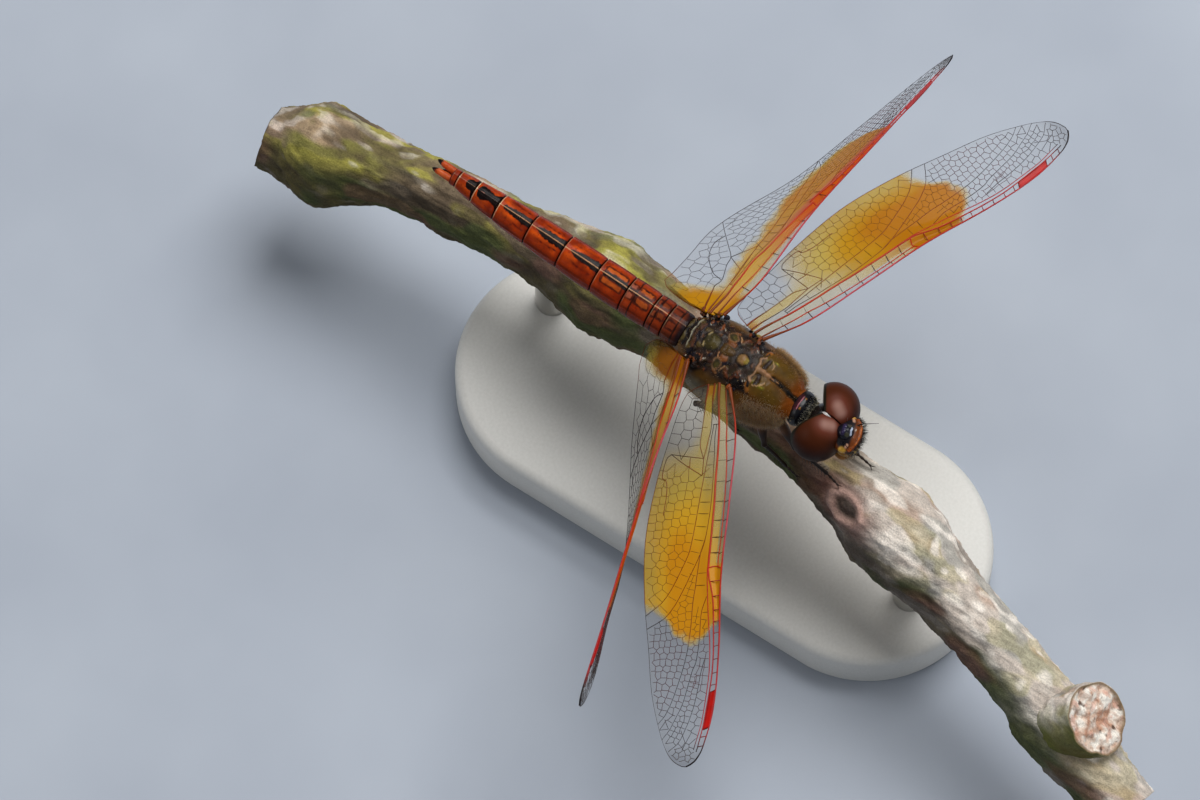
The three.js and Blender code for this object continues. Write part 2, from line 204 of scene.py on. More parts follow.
def closed_skin(rings, tint=None):
    """A closed body over rings of points, shape (rings, around, 3): four-sided faces from ring to
    ring, and a fan to the middle of each end ring. Returns points, quads, triangles and tints."""
    count, around = rings.shape[:2]
    i = np.arange(count * around).reshape(count, around)
    low, high = i[:-1], i[1:]
    quads = np.stack([low, np.roll(low, -1, 1), np.roll(high, -1, 1), high], -1).reshape(-1, 4)
    first = np.stack([np.roll(i[0], -1), i[0], np.full(around, count * around)], -1)
    last = np.stack([i[-1], np.roll(i[-1], -1), np.full(around, count * around + 1)], -1)
    points = np.vstack([rings.reshape(-1, 3), rings[0].mean(0), rings[-1].mean(0)])
    if tint is not None:
        tint = np.broadcast_to(tint, (count, around, 4))
        tint = np.vstack([tint.reshape(-1, 4), tint[0].mean(0), tint[-1].mean(0)])
    return points, quads, np.vstack([first, last]), tint


def joined(bodies):
    """Several bodies, each points, quads, triangles and tints, as one."""
    starts = np.cumsum([0] + [len(body[0]) for body in bodies])
    points = np.vstack([body[0] for body in bodies])
    quads = np.vstack([body[1] + start for body, start in zip(bodies, starts)])
    tris = np.vstack([body[2] + start for body, start in zip(bodies, starts)])
    tinted = bodies[0][3] is not None
    return points, quads, tris, np.vstack([body[3] for body in bodies]) if tinted else None


def make_piece(name, body, material, stands_for=(), values=None, patches=None,
               lift=BODY_HEIGHT):
    """A smooth-shaded piece of the object from a body in millimetres. Its tints become the
    attribute "tint", values are further numbers per point, and patches its OFBake map."""
    points, quads, tris, tint = body
    corners = np.vstack([quads[:, [0, 1, 2]], quads[:, [0, 2, 3]], tris])
    a, b, c = (points[corners[:, k]] for k in range(3))
    if np.einsum("ij,ij->", a, np.cross(b, c)) < 0:
        quads, tris = quads[:, ::-1], tris[:, ::-1]
    mesh = bpy.data.meshes.new(name)
    mesh.from_pydata(((points + [0, 0, lift]) * MM).tolist(), [], quads.tolist() + tris.tolist())
    mesh.polygons.foreach_set("use_smooth", np.ones(len(mesh.polygons), bool))
    if tint is not None:
        mesh.attributes.new("tint", "FLOAT_COLOR", "POINT").data.foreach_set("color", tint.ravel())
    for key, numbers in (values or {}).items():
        mesh.attributes.new(key, "FLOAT", "POINT").data.foreach_set("value", np.ravel(numbers))
    if patches is not None:
        vertex = np.empty(len(mesh.loops), int)
        mesh.loops.foreach_get("vertex_index", vertex)
        mesh.uv_layers.new(name="OFBake").data.foreach_set("uv", patches[vertex].ravel())
    mesh.materials.append(material)
    piece = bpy.data.objects.new(name, mesh)
    bpy.context.scene.collection.objects.link(piece)
    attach(piece, "root")
    if stands_for:
        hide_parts(*stands_for)


def square_to(along, hint):
    """A side and an up square to a direction: the side is its cross product with the hint, and
    the up is the side's cross product with it."""
    side = unit(np.cross(along, hint))
    return side, np.cross(side, along)


def spokes(side, up, turn):
    """Directions that turn from up toward side."""
    return side * np.sin(turn)[..., None] + up * np.cos(turn)[..., None]


def perch_at(y):
    """The branch's middle line, the directions to its side and top, and its radius at y."""
    centre = np.stack([smooth(PERCH["x"], y), y, smooth(PERCH["z"], y)], -1)
    ahead = np.stack([smooth(PERCH["x"], y + 0.2), y + 0.2, smooth(PERCH["z"], y + 0.2)], -1)
    side, up = square_to(unit(ahead - centre), [0, 0, 1.0])
    radius = PERCH["radius"] + sum(h * np.exp(-((y - at) / w) ** 2) for at, h, w in PERCH["swellings"])
    return centre, side, up, radius


def plain(code, shape):
    """One colour at every point of a grid."""
    return np.ones(tuple(shape) + (4,)) * srgb(code)


def dyed(tint, *coats):
    """The tint moved toward one colour after another, each by a share at every point."""
    for code, share in coats:
        tint = tint + np.clip(share, 0, 1)[..., None] * (np.array(srgb(code)) - tint)
    return tint


def ring_grid(rings, around):
    """Two grids for rings of points: the share of the way from first ring to last, and the turn."""
    share = np.linspace(0, 1, rings)[:, None] * np.ones(around)
    return share, np.linspace(0, 2 * np.pi, around, endpoint=False) * np.ones((rings, 1))


def bark_rings(rings, around):
    """The bark: at each place along the branch a circle, pushed in and out by lumps 2 mm wide, by
    lengthwise wrinkles 0.5 mm apart and by a fine crumble, with an oval leaf scar on its right.
    Also how many scar widths each point is from the scar's middle, and its dye."""
    y = np.linspace(PERCH["front"], PERCH["rear"], rings)[:, None] * np.ones(around)
    turn = np.linspace(-np.pi, np.pi, around, endpoint=False) * np.ones((rings, 1))
    centre, side, up, radius = perch_at(y)
    spoke = spokes(side, up, turn)
    base = centre + spoke * radius[..., None]
    scar = np.hypot((y - SCAR["y"]) / SCAR["half_length"],
                    (turn - SCAR["turn"]) * radius / SCAR["half_width"])
    out = 0.24 * swirl(base, 2.2, 1) + 0.13 * swirl(base, 0.9, 2) + 0.05
    out = out - 0.17 * np.abs(swirl(base * [1, 0.22, 1], 0.5, 3)) ** 0.7
    out = out + 0.05 * swirl(base, 0.28, 4) + 0.025 * swirl(base, 0.14, 5)
    out = out + 0.22 * np.exp(-((scar - 1) / 0.22) ** 2) - 0.15 * step(0.8, 0.5, scar)
    return base + spoke * out[..., None], scar, bark_dye(base, -np.sin(turn), out)


def bark_dye(base, under, out):
    """Bark colours by noise stretched along the branch: pale pinkish grey in front, olive and tan
    behind, with blue-grey and yellow-green growths and pale crusts; the flank turned from the light is
    painted shade, green-black, with olive algae and brown in patches."""
    y = base[..., 1]
    patch = {seed: swirl(base * [1, 0.4, 1], grain, seed)
             for seed, grain in ((101, 3.0), (102, 1.4), (103, 1.1), (104, 0.9), (105, 0.5), (106, 0.24))}
    front, rear = step(-7, -11, y), step(5, 9, y)
    growth = step(0.0, 0.3, patch[104] + 0.5 * patch[105] + 0.12 * step(-14, -24, y) - 0.15)
    shaded_flank = step(0.15, 0.75, under + 0.25 * patch[102] - 0.22 * front)
    tint = dyed(plain("7f6e58", y.shape),
                ("d3c6b9", front),
                ("8c8648", rear * step(-0.5, 0.1, patch[101])),
                ("b39580", step(0.05, 0.45, patch[102] + 0.3 * patch[105]) * 0.7),
                ("87908c", step(0.1, 0.4, patch[103] - 0.3 * patch[102]) * (0.25 + 0.2 * front)),
                ("a8a048", growth * (0.45 + 0.35 * rear - 0.15 * front)),
                ("efe6da", step(0.18, 0.5, patch[105] - 0.4 * patch[104]) * (0.35 + 0.4 * front)),
                # Where the bark sinks in it darkens: the darker wood in its cracks, and painted shade in the
                # hollows.
                ("5a4c3c", step(-0.02, -0.24, out) * (0.75 - 0.45 * front)),
                # Painted shade: the flank turned from the light darkens, with olive algae and brown patches
                # within it.
                ("40372b", shaded_flank * 0.85),
                ("46502a", shaded_flank * step(-0.1, 0.35, patch[103]) * 0.75),
                ("6a4a40", shaded_flank * step(0.2, 0.5, patch[102]) * 0.5))
    return tint * (1 + 0.22 * patch[106] + 0.12 * patch[105])[..., None]


def wood_dye(points):
    """Dry cut wood: buff, with tan and pink fibres, cream where it is freshly torn, and dark pits."""
    fibre = swirl(points, 0.45, 111) + 0.5 * swirl(points, 0.22, 112)
    return dyed(plain("e2cbb8", fibre.shape),
                ("c08a6c", step(0.15, 0.6, fibre) * 0.8),
                ("fbf3e6", step(0.0, -0.35, fibre)),
                ("e6b4a0", step(0.2, 0.5, swirl(points, 0.4, 114)) * 0.6),
                ("9a664a", step(0.25, 0.5, swirl(points * [1, 0.5, 1], 0.3, 115)) * 0.45),
                ("4a2e1e", step(0.5, 0.68, swirl(points * [0.6, 1, 1.2], 0.27, 113)) * 0.9))


def cut_face(edge, outward, hollow, torn):
    """Rings that close a cut end: from the bark's edge they shrink to the pith, and the wood
    inside stands hollow lower than the bark and is torn up and down by noise. Also their dye."""
    middle = edge.mean(0)
    shares = np.concatenate([[0.97, 0.94, 0.91], np.linspace(0.88, 0.04, 22)])
    rings = middle + (edge - middle) * shares[:, None, None]
    inside = step(0.97, 0.88, shares)[:, None]
    drop = inside * (hollow - torn * (swirl(rings, 0.75, 6) + 0.5 * swirl(rings, 0.35, 9)))
    rim = plain("8a7458", rings.shape[:2])
    tint = rim * (1 - inside[..., None]) + wood_dye(rings) * inside[..., None]
    return rings - outward * drop[..., None], tint


rings, scar, tint = bark_rings(rings=560, around=150)
tint = dyed(tint,
            ("8a6258", step(2.6, 1.2, scar) * 0.6),
            ("caa597", np.exp(-((scar - 1.0) / 0.28) ** 2) * 0.9),
            ("4c443c", step(0.75, 0.5, scar) * 0.8))
nose_rings, nose_tint = cut_face(rings[0], np.array([0, -1.0, 0]), hollow=0.05, torn=0.03)
tail_rings, tail_tint = cut_face(rings[-1], np.array([0, 1.0, 0]), hollow=0.05, torn=0.03)
limb = closed_skin(np.concatenate([nose_rings[::-1], rings, tail_rings]),
                   np.concatenate([nose_tint[::-1], tint, tail_tint]))

stub_root, stub_face = np.array(STUB["root"]), np.array(STUB["face"])
stub_along = unit(stub_face - stub_root)
share, turn = ring_grid(44, 130)
spoke = spokes(*square_to(stub_along, [0, 0, 1.0]), turn)
rings = stub_root + (stub_face - stub_root) * share[..., None]
rings = rings + spoke * STUB["radius"] * (0.94 + 0.07 * share[..., None] ** 3)
out = 0.2 * swirl(rings, 1.3, 7) + 0.1 * swirl(rings, 0.5, 8) - 0.04
rings = rings + spoke * out[..., None]
under = -spoke[..., 0]
tint = dyed(bark_dye(rings, under, out),
            ("6c6e30", step(-0.1, 0.6, under + 0.5 * swirl(rings, 0.6, 115)) * 0.6),
            ("9a5e3c", step(-0.3, -0.9, spoke[..., 2]) * step(0.6, 0.95, share) * 0.8))
face_rings, face_tint = cut_face(rings[-1], stub_along, hollow=0.1, torn=0.3)
stub = closed_skin(np.concatenate([rings, face_rings]), np.concatenate([tint, face_tint]))


def uneven(tree, dye, noise, spread, strength):
    """A dye made darker and lighter by noise: as the noise runs over its spread, from first to
    second, the dye is scaled from the first strength to the second."""
    scale = add_node(tree, "MapRange", {
        "Value": noise, "From Min": spread[0], "From Max": spread[1], "To Min": strength[0],
        "To Max": strength[1]})
    return add_node(tree, "VectorMath", {0: dye.outputs["Color"], "Scale": scale.outputs[0]},
                    operation="SCALE").outputs[0]


# Weathered bark and torn wood: dull and dry, the dye broken by a fine crumbly grain and by cracks
# that run lengthwise, 0.15 mm apart.
bark, tree, output = new_finish("lichened_bark")
place = add_node(tree, "TexCoord").outputs["Object"]
dye = add_node(tree, "Attribute", attribute_name="tint")
stretched = add_node(tree, "Mapping", {"Vector": place, "Scale": (6000.0, 1300.0, 6000.0)})
cracks = add_node(tree, "TexNoise", {
    "Vector": stretched.outputs[0], "Scale": 1.0, "Detail": 4.0, "Roughness": 0.65})
crumble = add_node(tree, "TexNoise", {"Vector": place, "Scale": 9000.0, "Detail": 3.0})
grain = add_node(tree, "Math", {0: cracks.outputs["Fac"], 1: crumble.outputs["Fac"]},
                 operation="ADD")
tone = uneven(tree, dye, grain.outputs[0], (0.75, 1.25), (0.76, 1.18))
relief = add_node(tree, "Bump", {
    "Height": grain.outputs[0], "Strength": 0.8, "Distance": 0.08 * MM})
shader = add_node(tree, "BsdfPrincipled", {
    "Base Color": tone, "Roughness": 0.9, "Specular IOR Level": 0.2, "Normal": relief.outputs[0]})
tree.links.new(shader.outputs[0], output.inputs[0])
make_piece("branch", joined([limb, stub]), bark, ["perch_branch"])

# ---- The stand ----
# A display stand: a flat moulded base with round ends, its edges eased by half a millimetre, and
# two ground steel rods pressed into it that run up into the branch.
BASE = {"length": 38.0, "width": 16.0, "height": 4.0, "ease": 0.6}
ROD = {"radius": 1.1, "places": (15.0, -15.0), "sunk": 0.4}

turn = np.linspace(0, 2 * np.pi, 96, endpoint=False)
rounding = np.linspace(0, np.pi / 2, 7)
inset = BASE["ease"] * (1 - np.sin(rounding))
rise = BASE["ease"] * (1 - np.cos(rounding))
inset = np.concatenate([[5.0, 2.0], inset, inset[::-1], [2.0, 5.0]])
rise = np.concatenate([[0, 0], rise, BASE["height"] - rise[::-1], [BASE["height"]] * 2])
bow = BASE["width"] / 2 - inset[:, None]
middle = np.where(np.sin(turn) >= 0, 1, -1) * (BASE["length"] - BASE["width"]) / 2
slab = np.stack([bow * np.cos(turn), middle + bow * np.sin(turn), rise[:, None] * np.ones(len(turn))], -1)

# Moulded ABS, off-white, with the faint even grain of a spark-eroded mould.
moulded, tree, output = new_finish("moulded_abs_off_white")
place = add_node(tree, "TexCoord").outputs["Object"]
grain = add_node(tree, "TexNoise", {"Vector": place, "Scale": 5000.0, "Detail": 2.0})
tone = add_node(tree, "ValToRGB", {"Fac": grain.outputs["Fac"]},
                stops=[(0.2, "cfcdc6"), (0.8, "d9d7d1")])
relief = add_node(tree, "Bump", {
    "Height": grain.outputs["Fac"], "Strength": 0.15, "Distance": 0.02 * MM})
shader = add_node(tree, "BsdfPrincipled", {
    "Base Color": tone.outputs["Color"], "Roughness": 0.5, "Normal": relief.outputs[0]})
tree.links.new(shader.outputs[0], output.inputs[0])
make_piece("display_base", closed_skin(slab), moulded, ["stand_base"], lift=0)

# Ground stainless steel: fine scratches run round each rod and stretch its highlight.
steel, tree, output = new_finish("ground_stainless_steel")
place = add_node(tree, "TexCoord").outputs["Object"]
turned = add_node(tree, "Mapping", {"Vector": place, "Scale": (300.0, 300.0, 20000.0)})
scratch = add_node(tree, "TexNoise", {"Vector": turned.outputs[0], "Scale": 1.0, "Detail": 3.0})
rough = add_node(tree, "MapRange", {
    "Value": scratch.outputs["Fac"], "To Min": 0.22, "To Max": 0.42})
shader = add_node(tree, "BsdfPrincipled", {
    "Base Color": srgb("c3c1bc"), "Metallic": 1.0, "Roughness": rough.outputs[0]})
tree.links.new(shader.outputs[0], output.inputs[0])
for number, y in enumerate(ROD["places"], 1):
    centre = perch_at(np.array(y))[0]
    end = centre[2] + BODY_HEIGHT
    turn = ring_grid(4, 48)[1]
    heights = np.array([BASE["height"] - ROD["sunk"], BASE["height"] + 0.5, end - 0.6, end])
    rod = np.stack([centre[0] + ROD["radius"] * np.cos(turn), y + ROD["radius"] * np.sin(turn),
                    heights[:, None] + 0 * turn], -1)
    make_piece(f"display_rod_{number}", closed_skin(rod), steel, [f"stand_rod_{number}"], lift=0)


# ---- The thorax ----
# The two fused rings that carry wings and legs, a stiff shell of horny plates. Two smooth lobes lie
# either side of a black keel in front; behind them shields, ridges and the knuckles of the wings
# crowd the back. The whole is downy, and so tight that every plate is worked out of one skin.
THORAX = {
    "half_width": [[-4.95, 1.15], [-4.3, 1.75], [-3.2, 2.2], [-1.5, 2.45], [0.5, 2.5], [2.2, 2.0],
                   [3.3, 1.05]],
    "top": [[-4.95, 1.85], [-4.3, 2.45], [-3.2, 3.1], [-1.5, 3.35], [0.5, 3.3], [2.2, 3.15], [3.3, 2.7]],
    "bottom": [[-4.95, 0.35], [-4.3, -0.6], [-3.2, -1.35], [-1.5, -1.85], [0.5, -1.9], [2.2, -1.0],
               [3.3, 0.5]],
}


def shell_rings(profile, rows, around, front, rear):
    """A body's skin between two places: at each y an upper and a lower half ellipse, which share a
    half width and meet at the level halfway between the top and the bottom line."""
    y = (front + (rear - front) * (1 - np.cos(np.linspace(0, np.pi, rows))) / 2)[:, None] * np.ones(around)
    turn = np.linspace(0, 2 * np.pi, around, endpoint=False) * np.ones((rows, 1))
    top, bottom = smooth(profile["top"], y), smooth(profile["bottom"], y)
    z = (top + bottom) / 2 + np.cos(turn) * (top - bottom) / 2
    return np.stack([smooth(profile["half_width"], y) * np.sin(turn), y, z], -1)


CAP_ROWS = 6  # rings that round each end


def domed(rings, low, high):
    """Rounds both ends: past each end the ring shrinks by the cosine of a quarter turn while its
    middle moves out by the end's own height times the sine."""
    quarter = np.linspace(0, np.pi / 2, CAP_ROWS + 2)[1:-1, None, None]

    def cap(edge, inner, height):
        middle = edge.mean(0)
        outward = unit(middle - inner.mean(0))
        return middle + (edge - middle) * np.cos(quarter) + outward * height * np.sin(quarter)

    return np.concatenate([cap(rings[0], rings[1], low)[::-1], rings, cap(rings[-1], rings[-2], high)])


def capped(tint):
    """The dye of rings that are to be domed: the end rings' dye goes on over the rounding."""
    return np.concatenate([np.repeat(tint[:1], CAP_ROWS, 0), tint, np.repeat(tint[-1:], CAP_ROWS, 0)])


def outward_of(rings):
    """The unit normal at each point: the cross product of the steps along and around the rings,
    turned to point away from the ring's middle."""
    around = np.roll(rings, -1, 1) - np.roll(rings, 1, 1)
    normal = np.cross(np.gradient(rings, axis=0), around)
    normal = normal / np.maximum(np.linalg.norm(normal, axis=-1, keepdims=True), 1e-9)
    sense = np.sum(normal * (rings - rings.mean(1, keepdims=True)), axis=(1, 2), keepdims=True)
    return normal * np.where(sense < 0, -1, 1)


def distance_to(points, line):
    """How far each point lies from a line of straight stretches: the least distance to a stretch,
    whose nearest place is kept between its two ends."""
    line = np.array(line, float)
    starts, ends = (line, line) if len(line) == 1 else (line[:-1], line[1:])
    nearest = np.full(points.shape[:-1], np.inf)
    for start, end in zip(starts, ends):
        along = end - start
        share = np.clip(((points - start) @ along) / max(along @ along, 1e-12), 0, 1)
        nearest = np.minimum(nearest, np.linalg.norm(points - start - share[..., None] * along, axis=-1))
    return nearest


def worked(rings, tint, marks, squash=(1, 1, 1), wander=0.03):
    """Works marks into a skin and colours them. A mark is a colour or None, a half width, a height
    and a line on the left side, and it has a twin on the right. The skin rises by the height times
    1 - (distance / half width) squared, and the colour softens over the outer third. Distances are
    measured in a space squashed by the three factors, from places that wander by about so many mm."""
    drift = np.stack([swirl(rings, 0.5, 50 + k) + 0.45 * swirl(rings, 0.17, 53 + k) for k in range(3)], -1)
    near = (np.concatenate([np.abs(rings[..., :1]), rings[..., 1:]], -1) + wander * drift) * squash
    lift = np.zeros(rings.shape[:-1])
    for code, half_width, height, line in marks:
        gap = distance_to(near, np.array(line) * squash) / half_width
        lift = lift + height * np.clip(1 - gap ** 2, 0, 1)
        if code:
            tint = dyed(tint, (code, 1 - step(0.6, 1, gap)))
    return rings + outward_of(rings) * lift[..., None], tint


def cuticle(name, roughness, shine, mottle, pit):
    """Insect shell: the skin's own tint, mottled at a grain given in mm, under a thin wax film
    whose mirror strength is the shine, with pits of a size given in mm."""
    material, tree, output = new_finish(name)
    place = add_node(tree, "TexCoord").outputs["Object"]
    dye = add_node(tree, "Attribute", attribute_name="tint")
    cloud = add_node(tree, "TexNoise", {"Vector": place, "Scale": 1 / (mottle * MM), "Detail": 5.0})
    tone = uneven(tree, dye, cloud.outputs["Fac"], (0.3, 0.7), (0.72, 1.22))
    pits = add_node(tree, "TexNoise", {"Vector": place, "Scale": 1 / (pit * MM), "Detail": 3.0})
    relief = add_node(tree, "Bump", {
        "Height": pits.outputs["Fac"], "Strength": 0.25, "Distance": pit * MM * 0.3})
    gloss = add_node(tree, "MapRange", {
        "Value": cloud.outputs["Fac"], "From Min": 0.3, "From Max": 0.7, "To Min": roughness + 0.08,
        "To Max": roughness - 0.08})
    shader = add_node(tree, "BsdfPrincipled", {
        "Base Color": tone, "Roughness": gloss.outputs[0], "IOR": 1.54, "Specular IOR Level": shine,
        "Normal": relief.outputs[0]})
    tree.links.new(shader.outputs[0], output.inputs[0])
    return material


skin = domed(shell_rings(THORAX, 230, 216, -4.95, 3.3), 0.35, 0.5)
x, y, z = np.abs(skin[..., 0]), skin[..., 1], skin[..., 2]
lobe = distance_to(np.stack([x, y, z * 0.3], -1), [[0.75, -2.6, 0.9], [0.95, -3.6, 0.8]])
hollow = distance_to(np.stack([x, y, z], -1), [[2.4, 0.8, 1.2]])
tint = dyed(plain("6a5630", x.shape),
            ("83591e", step(-0.6, -1.4, y) * step(-0.8, 0.2, z)),
            ("8a5416", step(-1.5, -2.2, y) * step(1.5, 2.0, x) * step(0.2, 1.0, z)),
            ("573812", step(1.2, 2.3, z) * 0.85),
            ("2a1c14", step(2.35, 2.8, z) * step(-2.3, -1.9, y)),
            ("5e3a10", step(-2.0, -2.6, y) * step(1.0, 2.0, z) * 0.8),
            ("4a3c0a", (1 - step(0.25, 0.9, lobe)) * 0.55),
            ("84400f", step(-4.15, -4.75, y) * step(0.9, 1.6, z) * 0.75),
            ("716a50", (1 - step(0.4, 1.2, hollow)) * 0.9))

# Short dark and rusty marks crowd the back, and still more of them each wing's joint.
KNUCKLE_DYES = ["120c0b", "5a2c12", "3c1d0e", "26170f", "6e3a1a", "14101a", "4c2a15", "33230f"]
PLATE_DYES = ["1a1210", "3c2617", "54321b", "17131c", "6b4222", "2a2012", "4a3a1c", "100d10"]
WING_JOINTS = ((1.3, -1.35, 3.0), (1.5, 1.35, 2.85))
dice = np.random.default_rng(11)


def speckled(dyes, middle, spread, turned, half_width, height, count):
    """Short marks strewn over the back: each starts within a spread of the middle, ends within
    so many mm beside its start, and draws its half width and its height."""
    marks = []
    for number in range(count):
        spot = [at + dice.uniform(*reach) for at, reach in zip(middle, spread)]
        other = [at + dice.uniform(-reach, reach) for at, reach in zip(spot, turned)]
        marks.append((dyes[number % len(dyes)], dice.uniform(*half_width), dice.uniform(*height),
                      [spot + [middle[2]], other + [middle[2]]]))
    return marks


small_plates = speckled(PLATE_DYES, (0, 0, 3.0), ((0, 1.7), (-1.9, 3.0)), (0.3, 0.25),
                        (0.08, 0.22), (-0.04, 0.07), 70)
knuckles = [mark for joint in WING_JOINTS
            for mark in speckled(KNUCKLE_DYES, joint, ((-0.6, 0.65), (-0.8, 0.8)), (0.28, 0.28),
                                 (0.05, 0.13), (0.03, 0.12), 30)]
# Each mark: colour, half width, height, and its line on the left side, in mm.
MARKS = [
    *small_plates,
    (None, 0.95, 0.16, [[1.05, -4.0, 2.2], [1.15, -2.75, 2.7]]),
    (None, 0.9, 0.12, [[2.1, 0.6, 0.9], [1.9, 1.6, 0.9]]),
    ("2e1f0e", 0.26, -0.07, [[0, -4.9, 2.0], [0, -3.3, 3.0]]),
    ("0a0707", 0.1, 0.09, [[0, -4.9, 2.0], [0, -3.4, 3.0]]),
    ("171010", 0.12, -0.1, [[1.3, -1.75, 2.9], [1.6, -2.2, 2.4], [1.95, -2.7, 1.5], [2.1, -2.9, 0.6]]),
    ("2d2116", 0.07, -0.07, [[2.3, -1.6, 1.6], [2.2, -1.3, 0.2], [1.6, -0.9, -1.3]]),
    ("2d2116", 0.07, -0.07, [[2.4, 0.2, 1.7], [2.3, 0.5, 0.2], [1.5, 0.9, -1.2]]),
    ("2d2116", 0.07, -0.07, [[2.0, -3.2, 1.2], [1.7, -3.1, -0.2], [1.2, -2.9, -1.1]]),
    ("cdb26a", 0.16, 0.02, [[2.42, -0.6, 0.6]]),
    # Painted highlight: a yellow-green streak down each front lobe.
    ("5e5214", 0.14, 0.03, [[0.78, -2.35, 3.0], [0.84, -2.95, 2.9]]),
    ("94862c", 0.045, 0.02, [[0.78, -2.4, 3.0], [0.84, -2.9, 2.9]]),
    ("0e0a08", 0.08, -0.1, [[0.5, -2.12, 3.1], [0.26, -2.35, 3.1], [0.14, -2.9, 3.0], [0.12, -3.3, 3.0]]),
    ("24140a", 0.2, -0.08, [[0.34, -2.42, 3.0], [0.74, -2.52, 3.0]]),
    ("9c7a54", 0.045, 0.05, [[0.16, -2.82, 3.0], [0.5, -2.88, 3.0], [0.82, -2.74, 3.0], [0.96, -2.45, 3.0]]),
    ("84501f", 0.19, 0.09, [[1.12, -2.12, 2.85], [1.3, -2.2, 2.75]]),
    ("a06a2e", 0.08, 0.03, [[1.12, -2.16, 2.85], [1.2, -2.2, 2.8]]),
    ("0d0a0c", 0.64, -0.05, [[0, -1.1, 3.3]]),
    ("7c5c36", 0.42, 0.15, [[0, -1.03, 3.3]]),
    ("80692a", 0.19, 0.03, [[0.07, -1.27, 3.3]]),
    ("8e7e40", 0.08, 0.0, [[0.1, -1.36, 3.3]]),
    ("4a3414", 0.28, 0.07, [[0, -0.2, 3.2], [0.12, 0.25, 3.2]]),
    ("6a3c1a", 0.21, 0.09, [[0.5, -0.12, 3.2], [0.58, 0.12, 3.2]]),
    ("1f140c", 0.045, -0.05, [[0.3, -0.35, 3.2], [0.32, 0.4, 3.2]]),
    ("a0714a", 0.035, 0.05, [[0.25, 0.44, 3.2], [0.68, 0.36, 3.2], [0.78, -0.1, 3.2]]),
    ("0d0a10", 0.85, -0.06, [[0, 1.17, 3.25]]),
    ("362e12", 0.68, 0.16, [[0, 1.17, 3.25]]),
    # Painted highlight: a paler patch on the olive shield behind the wings.
    ("463c1c", 0.34, 0.02, [[0.1, 0.98, 3.25]]),
    ("86734a", 0.07, 0.02, [[0.28, 1.62, 3.2], [0.5, 1.5, 3.2]]),
    ("7c5a3c", 0.37, 0.07, [[0.94, 0.2, 3.1], [1.02, 0.26, 3.1]]),
    ("2e2712", 0.29, -0.04, [[0.94, 0.2, 3.1], [1.02, 0.26, 3.1]]),
    ("453c16", 0.16, 0.02, [[0.98, 0.14, 3.1], [1.06, 0.2, 3.1]]),
    ("9a7450", 0.055, 0.08, [[0.85, -0.35, 3.1], [1.4, -0.1, 3.0], [1.9, 0.3, 2.7], [2.2, 0.55, 2.4]]),
    ("15100f", 0.55, 0.08, [[1.25, -1.4, 3.0]]),
    ("15100f", 0.55, 0.08, [[1.5, 1.4, 2.9]]),
    *knuckles,
    ("8c6a4e", 0.09, 0.09, [[0, -2.05, 3.25], [0.36, -2.08, 3.2], [0.7, -1.93, 3.15], [0.86, -2.2, 3.1]]),
    ("967252", 0.25, 0.07, [[0, -2.12, 3.25], [0, -2.5, 3.2]]),
    ("90694a", 0.20, 0.05, [[0, -2.4, 3.2], [0, -2.95, 3.1]]),
    ("966a48", 0.14, 0.04, [[0, -2.9, 3.1], [0, -3.3, 2.95]]),
    ("946843", 0.09, 0.03, [[0, -3.25, 3.0], [0, -3.6, 2.95]]),
    ("120d14", 0.2, 0.0, [[0, 2.15, 3.1], [0.8, 2.1, 3.0], [1.4, 1.9, 2.8]]),
    ("4a2c1c", 0.14, 0.09, [[0.35, 2.2, 3.0], [0.8, 2.15, 3.0]]),
    ("8f8a74", 0.05, 0.10, [[0, 2.6, 3.0], [0.6, 2.58, 2.95], [1.1, 2.45, 2.8]]),
    ("17110f", 0.16, -0.05, [[0, 2.85, 2.9], [0.9, 2.8, 2.7]]),
    ("4d4022", 0.13, 0.07, [[0, 3.08, 2.85], [0.7, 3.0, 2.7]]),
    ("8a7850", 0.06, 0.05, [[0.25, 3.22, 2.8], [0.6, 3.14, 2.7]]),
]
GLINTS = [(0.86, -1.55, 3.15), (1.0, -1.9, 3.1), (1.62, -1.25, 2.95), (1.05, 0.95, 3.05), (1.75, 1.15, 2.8),
          (1.0, 1.9, 3.0), (0.6, -0.72, 3.2)]
MARKS += [("b0a898", 0.03, 0.03, [[gx, gy, gz], [gx + 0.07, gy + 0.1, gz]]) for gx, gy, gz in GLINTS]
skin, tint = worked(skin, tint, MARKS, squash=(1, 1, 0.35), wander=0.085)
skin = skin + outward_of(skin) * (0.015 * swirl(skin, 0.16, 12))[..., None]

# Downy cuticle: horny plates with a satin wax bloom, so highlights are soft and the tone is uneven.
downy = cuticle("downy_thorax_cuticle", roughness=0.4, shine=0.14, mottle=0.5, pit=0.08)
make_piece("thorax_shell", closed_skin(skin, tint), downy, ["thorax"])
thorax_skin = skin

# ---- The neck ring and the head shell ----
# The first ring of the thorax is a short black collar. The head is a hollow capsule almost hidden
# by the eyes; in front of them stand the shining vertex with the feelers, the swollen forehead
# with its orange ridge, and below it the plates of the mouth.
DARK_PLATES = {
    "neck_ring": ([0, -5.35, 0.95], [1.2, 0.8, 1.05], "prothorax", "101114"),
    "head_back": ([0, -6.75, 0.5], [1.25, 0.85, 1.6], "head_capsule", "17110e"),
    "vertex": ([-0.03, -8.40, 2.28], [0.52, 0.56, 0.48], "head_vertex", "10101a"),
}
FACE_PLATES = {
    "forehead": ([0, -8.55, 1.75], [1.2, 0.95, 0.75], "head_frons", "6e3611"),
    "upper_face": ([0, -8.6, 0.85], [1.08, 0.8, 0.5], "head_clypeus", "a5793a"),
    "upper_lip": ([0, -8.45, 0.08], [1.05, 0.74, 0.5], "head_labrum", "96642c"),
    "lower_lip": ([0, -7.65, -0.65], [1.15, 1.15, 0.55], "head_labium", "84602c"),
}
